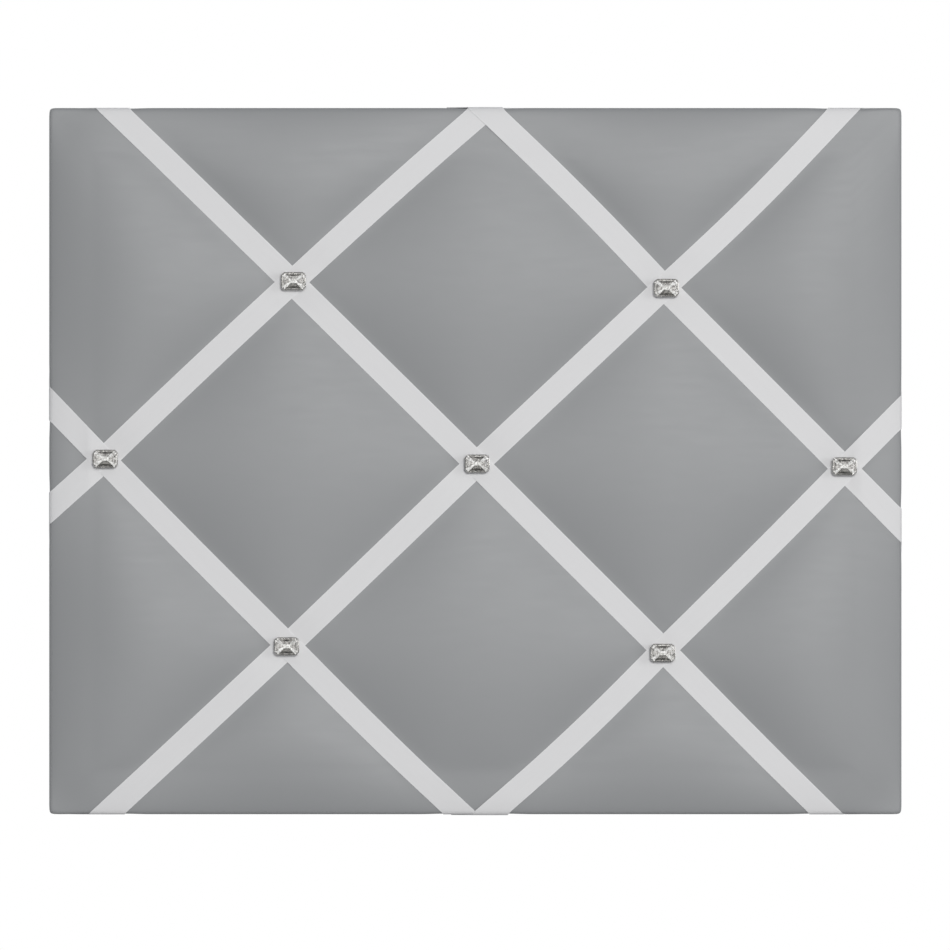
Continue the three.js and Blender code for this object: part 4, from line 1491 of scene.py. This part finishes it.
def ringOutline():
    # from one end of the straight bar to the other, then out along the bow and back
    half, corner = ringCut["halfWidth"], ringCut["corner"]
    quarter, steps = math.pi / 2, ringCut["cornerSteps"]
    line = [(0, corner - half)]
    line += arcPoints((-corner, half - corner), corner, 0, quarter, steps)
    line += arcPoints((half - ringCut["reach"], 0), half, quarter, 2 * quarter, ringCut["bowSteps"])
    line += arcPoints((-corner, corner - half), corner, 3 * quarter, quarter, steps)
    along = lengthsAlong(line)
    even = np.linspace(0, along[-1], ringCut["steps"] + 1)[:-1]
    return np.column_stack([np.interp(even, along, places) for places in zip(*line)])


def makeRing(hanger, body, alongX):
    joint = next(joint for joint in frame["joints"] if joint["child"] == body)
    pivot = np.array(joint["pos_m"]) / mm
    outline = ringOutline()
    radius, sides, steps = ringCut["wire"] / 2, ringCut["sides"], len(outline)
    points, faces = [], []
    for step in range(steps):
        onward = (step + 1) % steps
        tangent = outline[onward] - outline[step - 1]
        tangent /= np.linalg.norm(tangent)
        aside = np.array([tangent[1], -tangent[0]])
        for side in range(sides):
            angle = side / sides * 2 * math.pi
            out = outline[step] + aside * radius * math.cos(angle)
            lift = radius * math.sin(angle)
            place = (out[0], lift, out[1]) if alongX else (out[1], lift, out[0])
            points.append(pivot + np.array(place))
        faces += bandFaces(step * sides, onward * sides, sides)
    piece = addPiece(hanger + "_wire_ring", points, faces, [zinc], body=body)
    turnOutwards(piece)
    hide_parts(hanger + "_hanger_ring")


def crossDepth(x, z):
    # depth of the driver's cross recess
    reach, half = screwCut["recessReach"], screwCut["recessHalf"]
    inCross = (abs(x) < half and abs(z) < reach) or (abs(z) < half and abs(x) < reach)
    return screwCut["recess"] * inCross * (1 - screwCut["recessSlope"] * math.hypot(x, z) / reach)


def screwProfile(tip, seat):
    # radius and y, from the tip up to the edge of the head's top
    cut = screwCut
    head, rise, shank = cut["head"], cut["rise"], cut["shank"]
    profile = [(radius, tip + up) for radius, up in cut["tip"]]
    profile += [(shank, tip + cut["tipLength"]), (shank, seat)]
    profile += [(head, seat), (head, seat + rise * cut["brim"])]
    for step in range(1, cut["shoulderSteps"] + 1):
        angle = step / cut["shoulderSteps"] * math.pi / 2
        inwards = 1 - cut["shoulderIn"] * (1 - math.cos(angle))
        up = cut["brim"] + (cut["shoulder"] - cut["brim"]) * math.sin(angle)
        profile.append((head * inwards, seat + rise * up))
    return profile


def makeScrew(hanger):
    cut = screwCut
    low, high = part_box(hanger + "_hanger_screw")
    middleX, middleZ = middleOf(hanger + "_hanger_screw")
    seat = high.y / mm - cut["rise"]
    turns = arcPoints((0, 0), 1, 0, 2 * math.pi, cut["sides"])[:-1]
    profile = screwProfile(low.y / mm, seat)
    points = []
    for radius, y in profile:
        points += [(middleX + radius * x, y, middleZ + radius * z) for x, z in turns]
    for radius in cut["topRings"]:
        domed = (1 - cut["shoulder"]) * (1 - (radius / cut["top"]) ** 2)
        y = seat + cut["rise"] * (cut["shoulder"] + domed)
        for x, z in np.array(turns) * radius:
            points.append((middleX + x, y - crossDepth(x, z), middleZ + z))
    faces = loftFaces(len(profile) + len(cut["topRings"]), cut["sides"])
    piece = addPiece(hanger + "_screw", points, faces, [zinc], sharpAngle=cut["sharpAngle"])
    turnOutwards(piece)
    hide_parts(hanger + "_hanger_screw")


makeRing("top", "top_ring", False)
makeRing("side", "side_ring", True)
for hanger in ("top", "side"):
    makeScrew(hanger)
print("hangers dressed")


# kept frame parts take their finishes; straps and staples are zinc

keptFinishes = {"back_panel": card, "core_board": fibreboard}
for name, node in nodes.items():
    if node.hide_render:
        continue
    node.data.materials.clear()
    node.data.materials.append(keptFinishes.get(name, zinc))
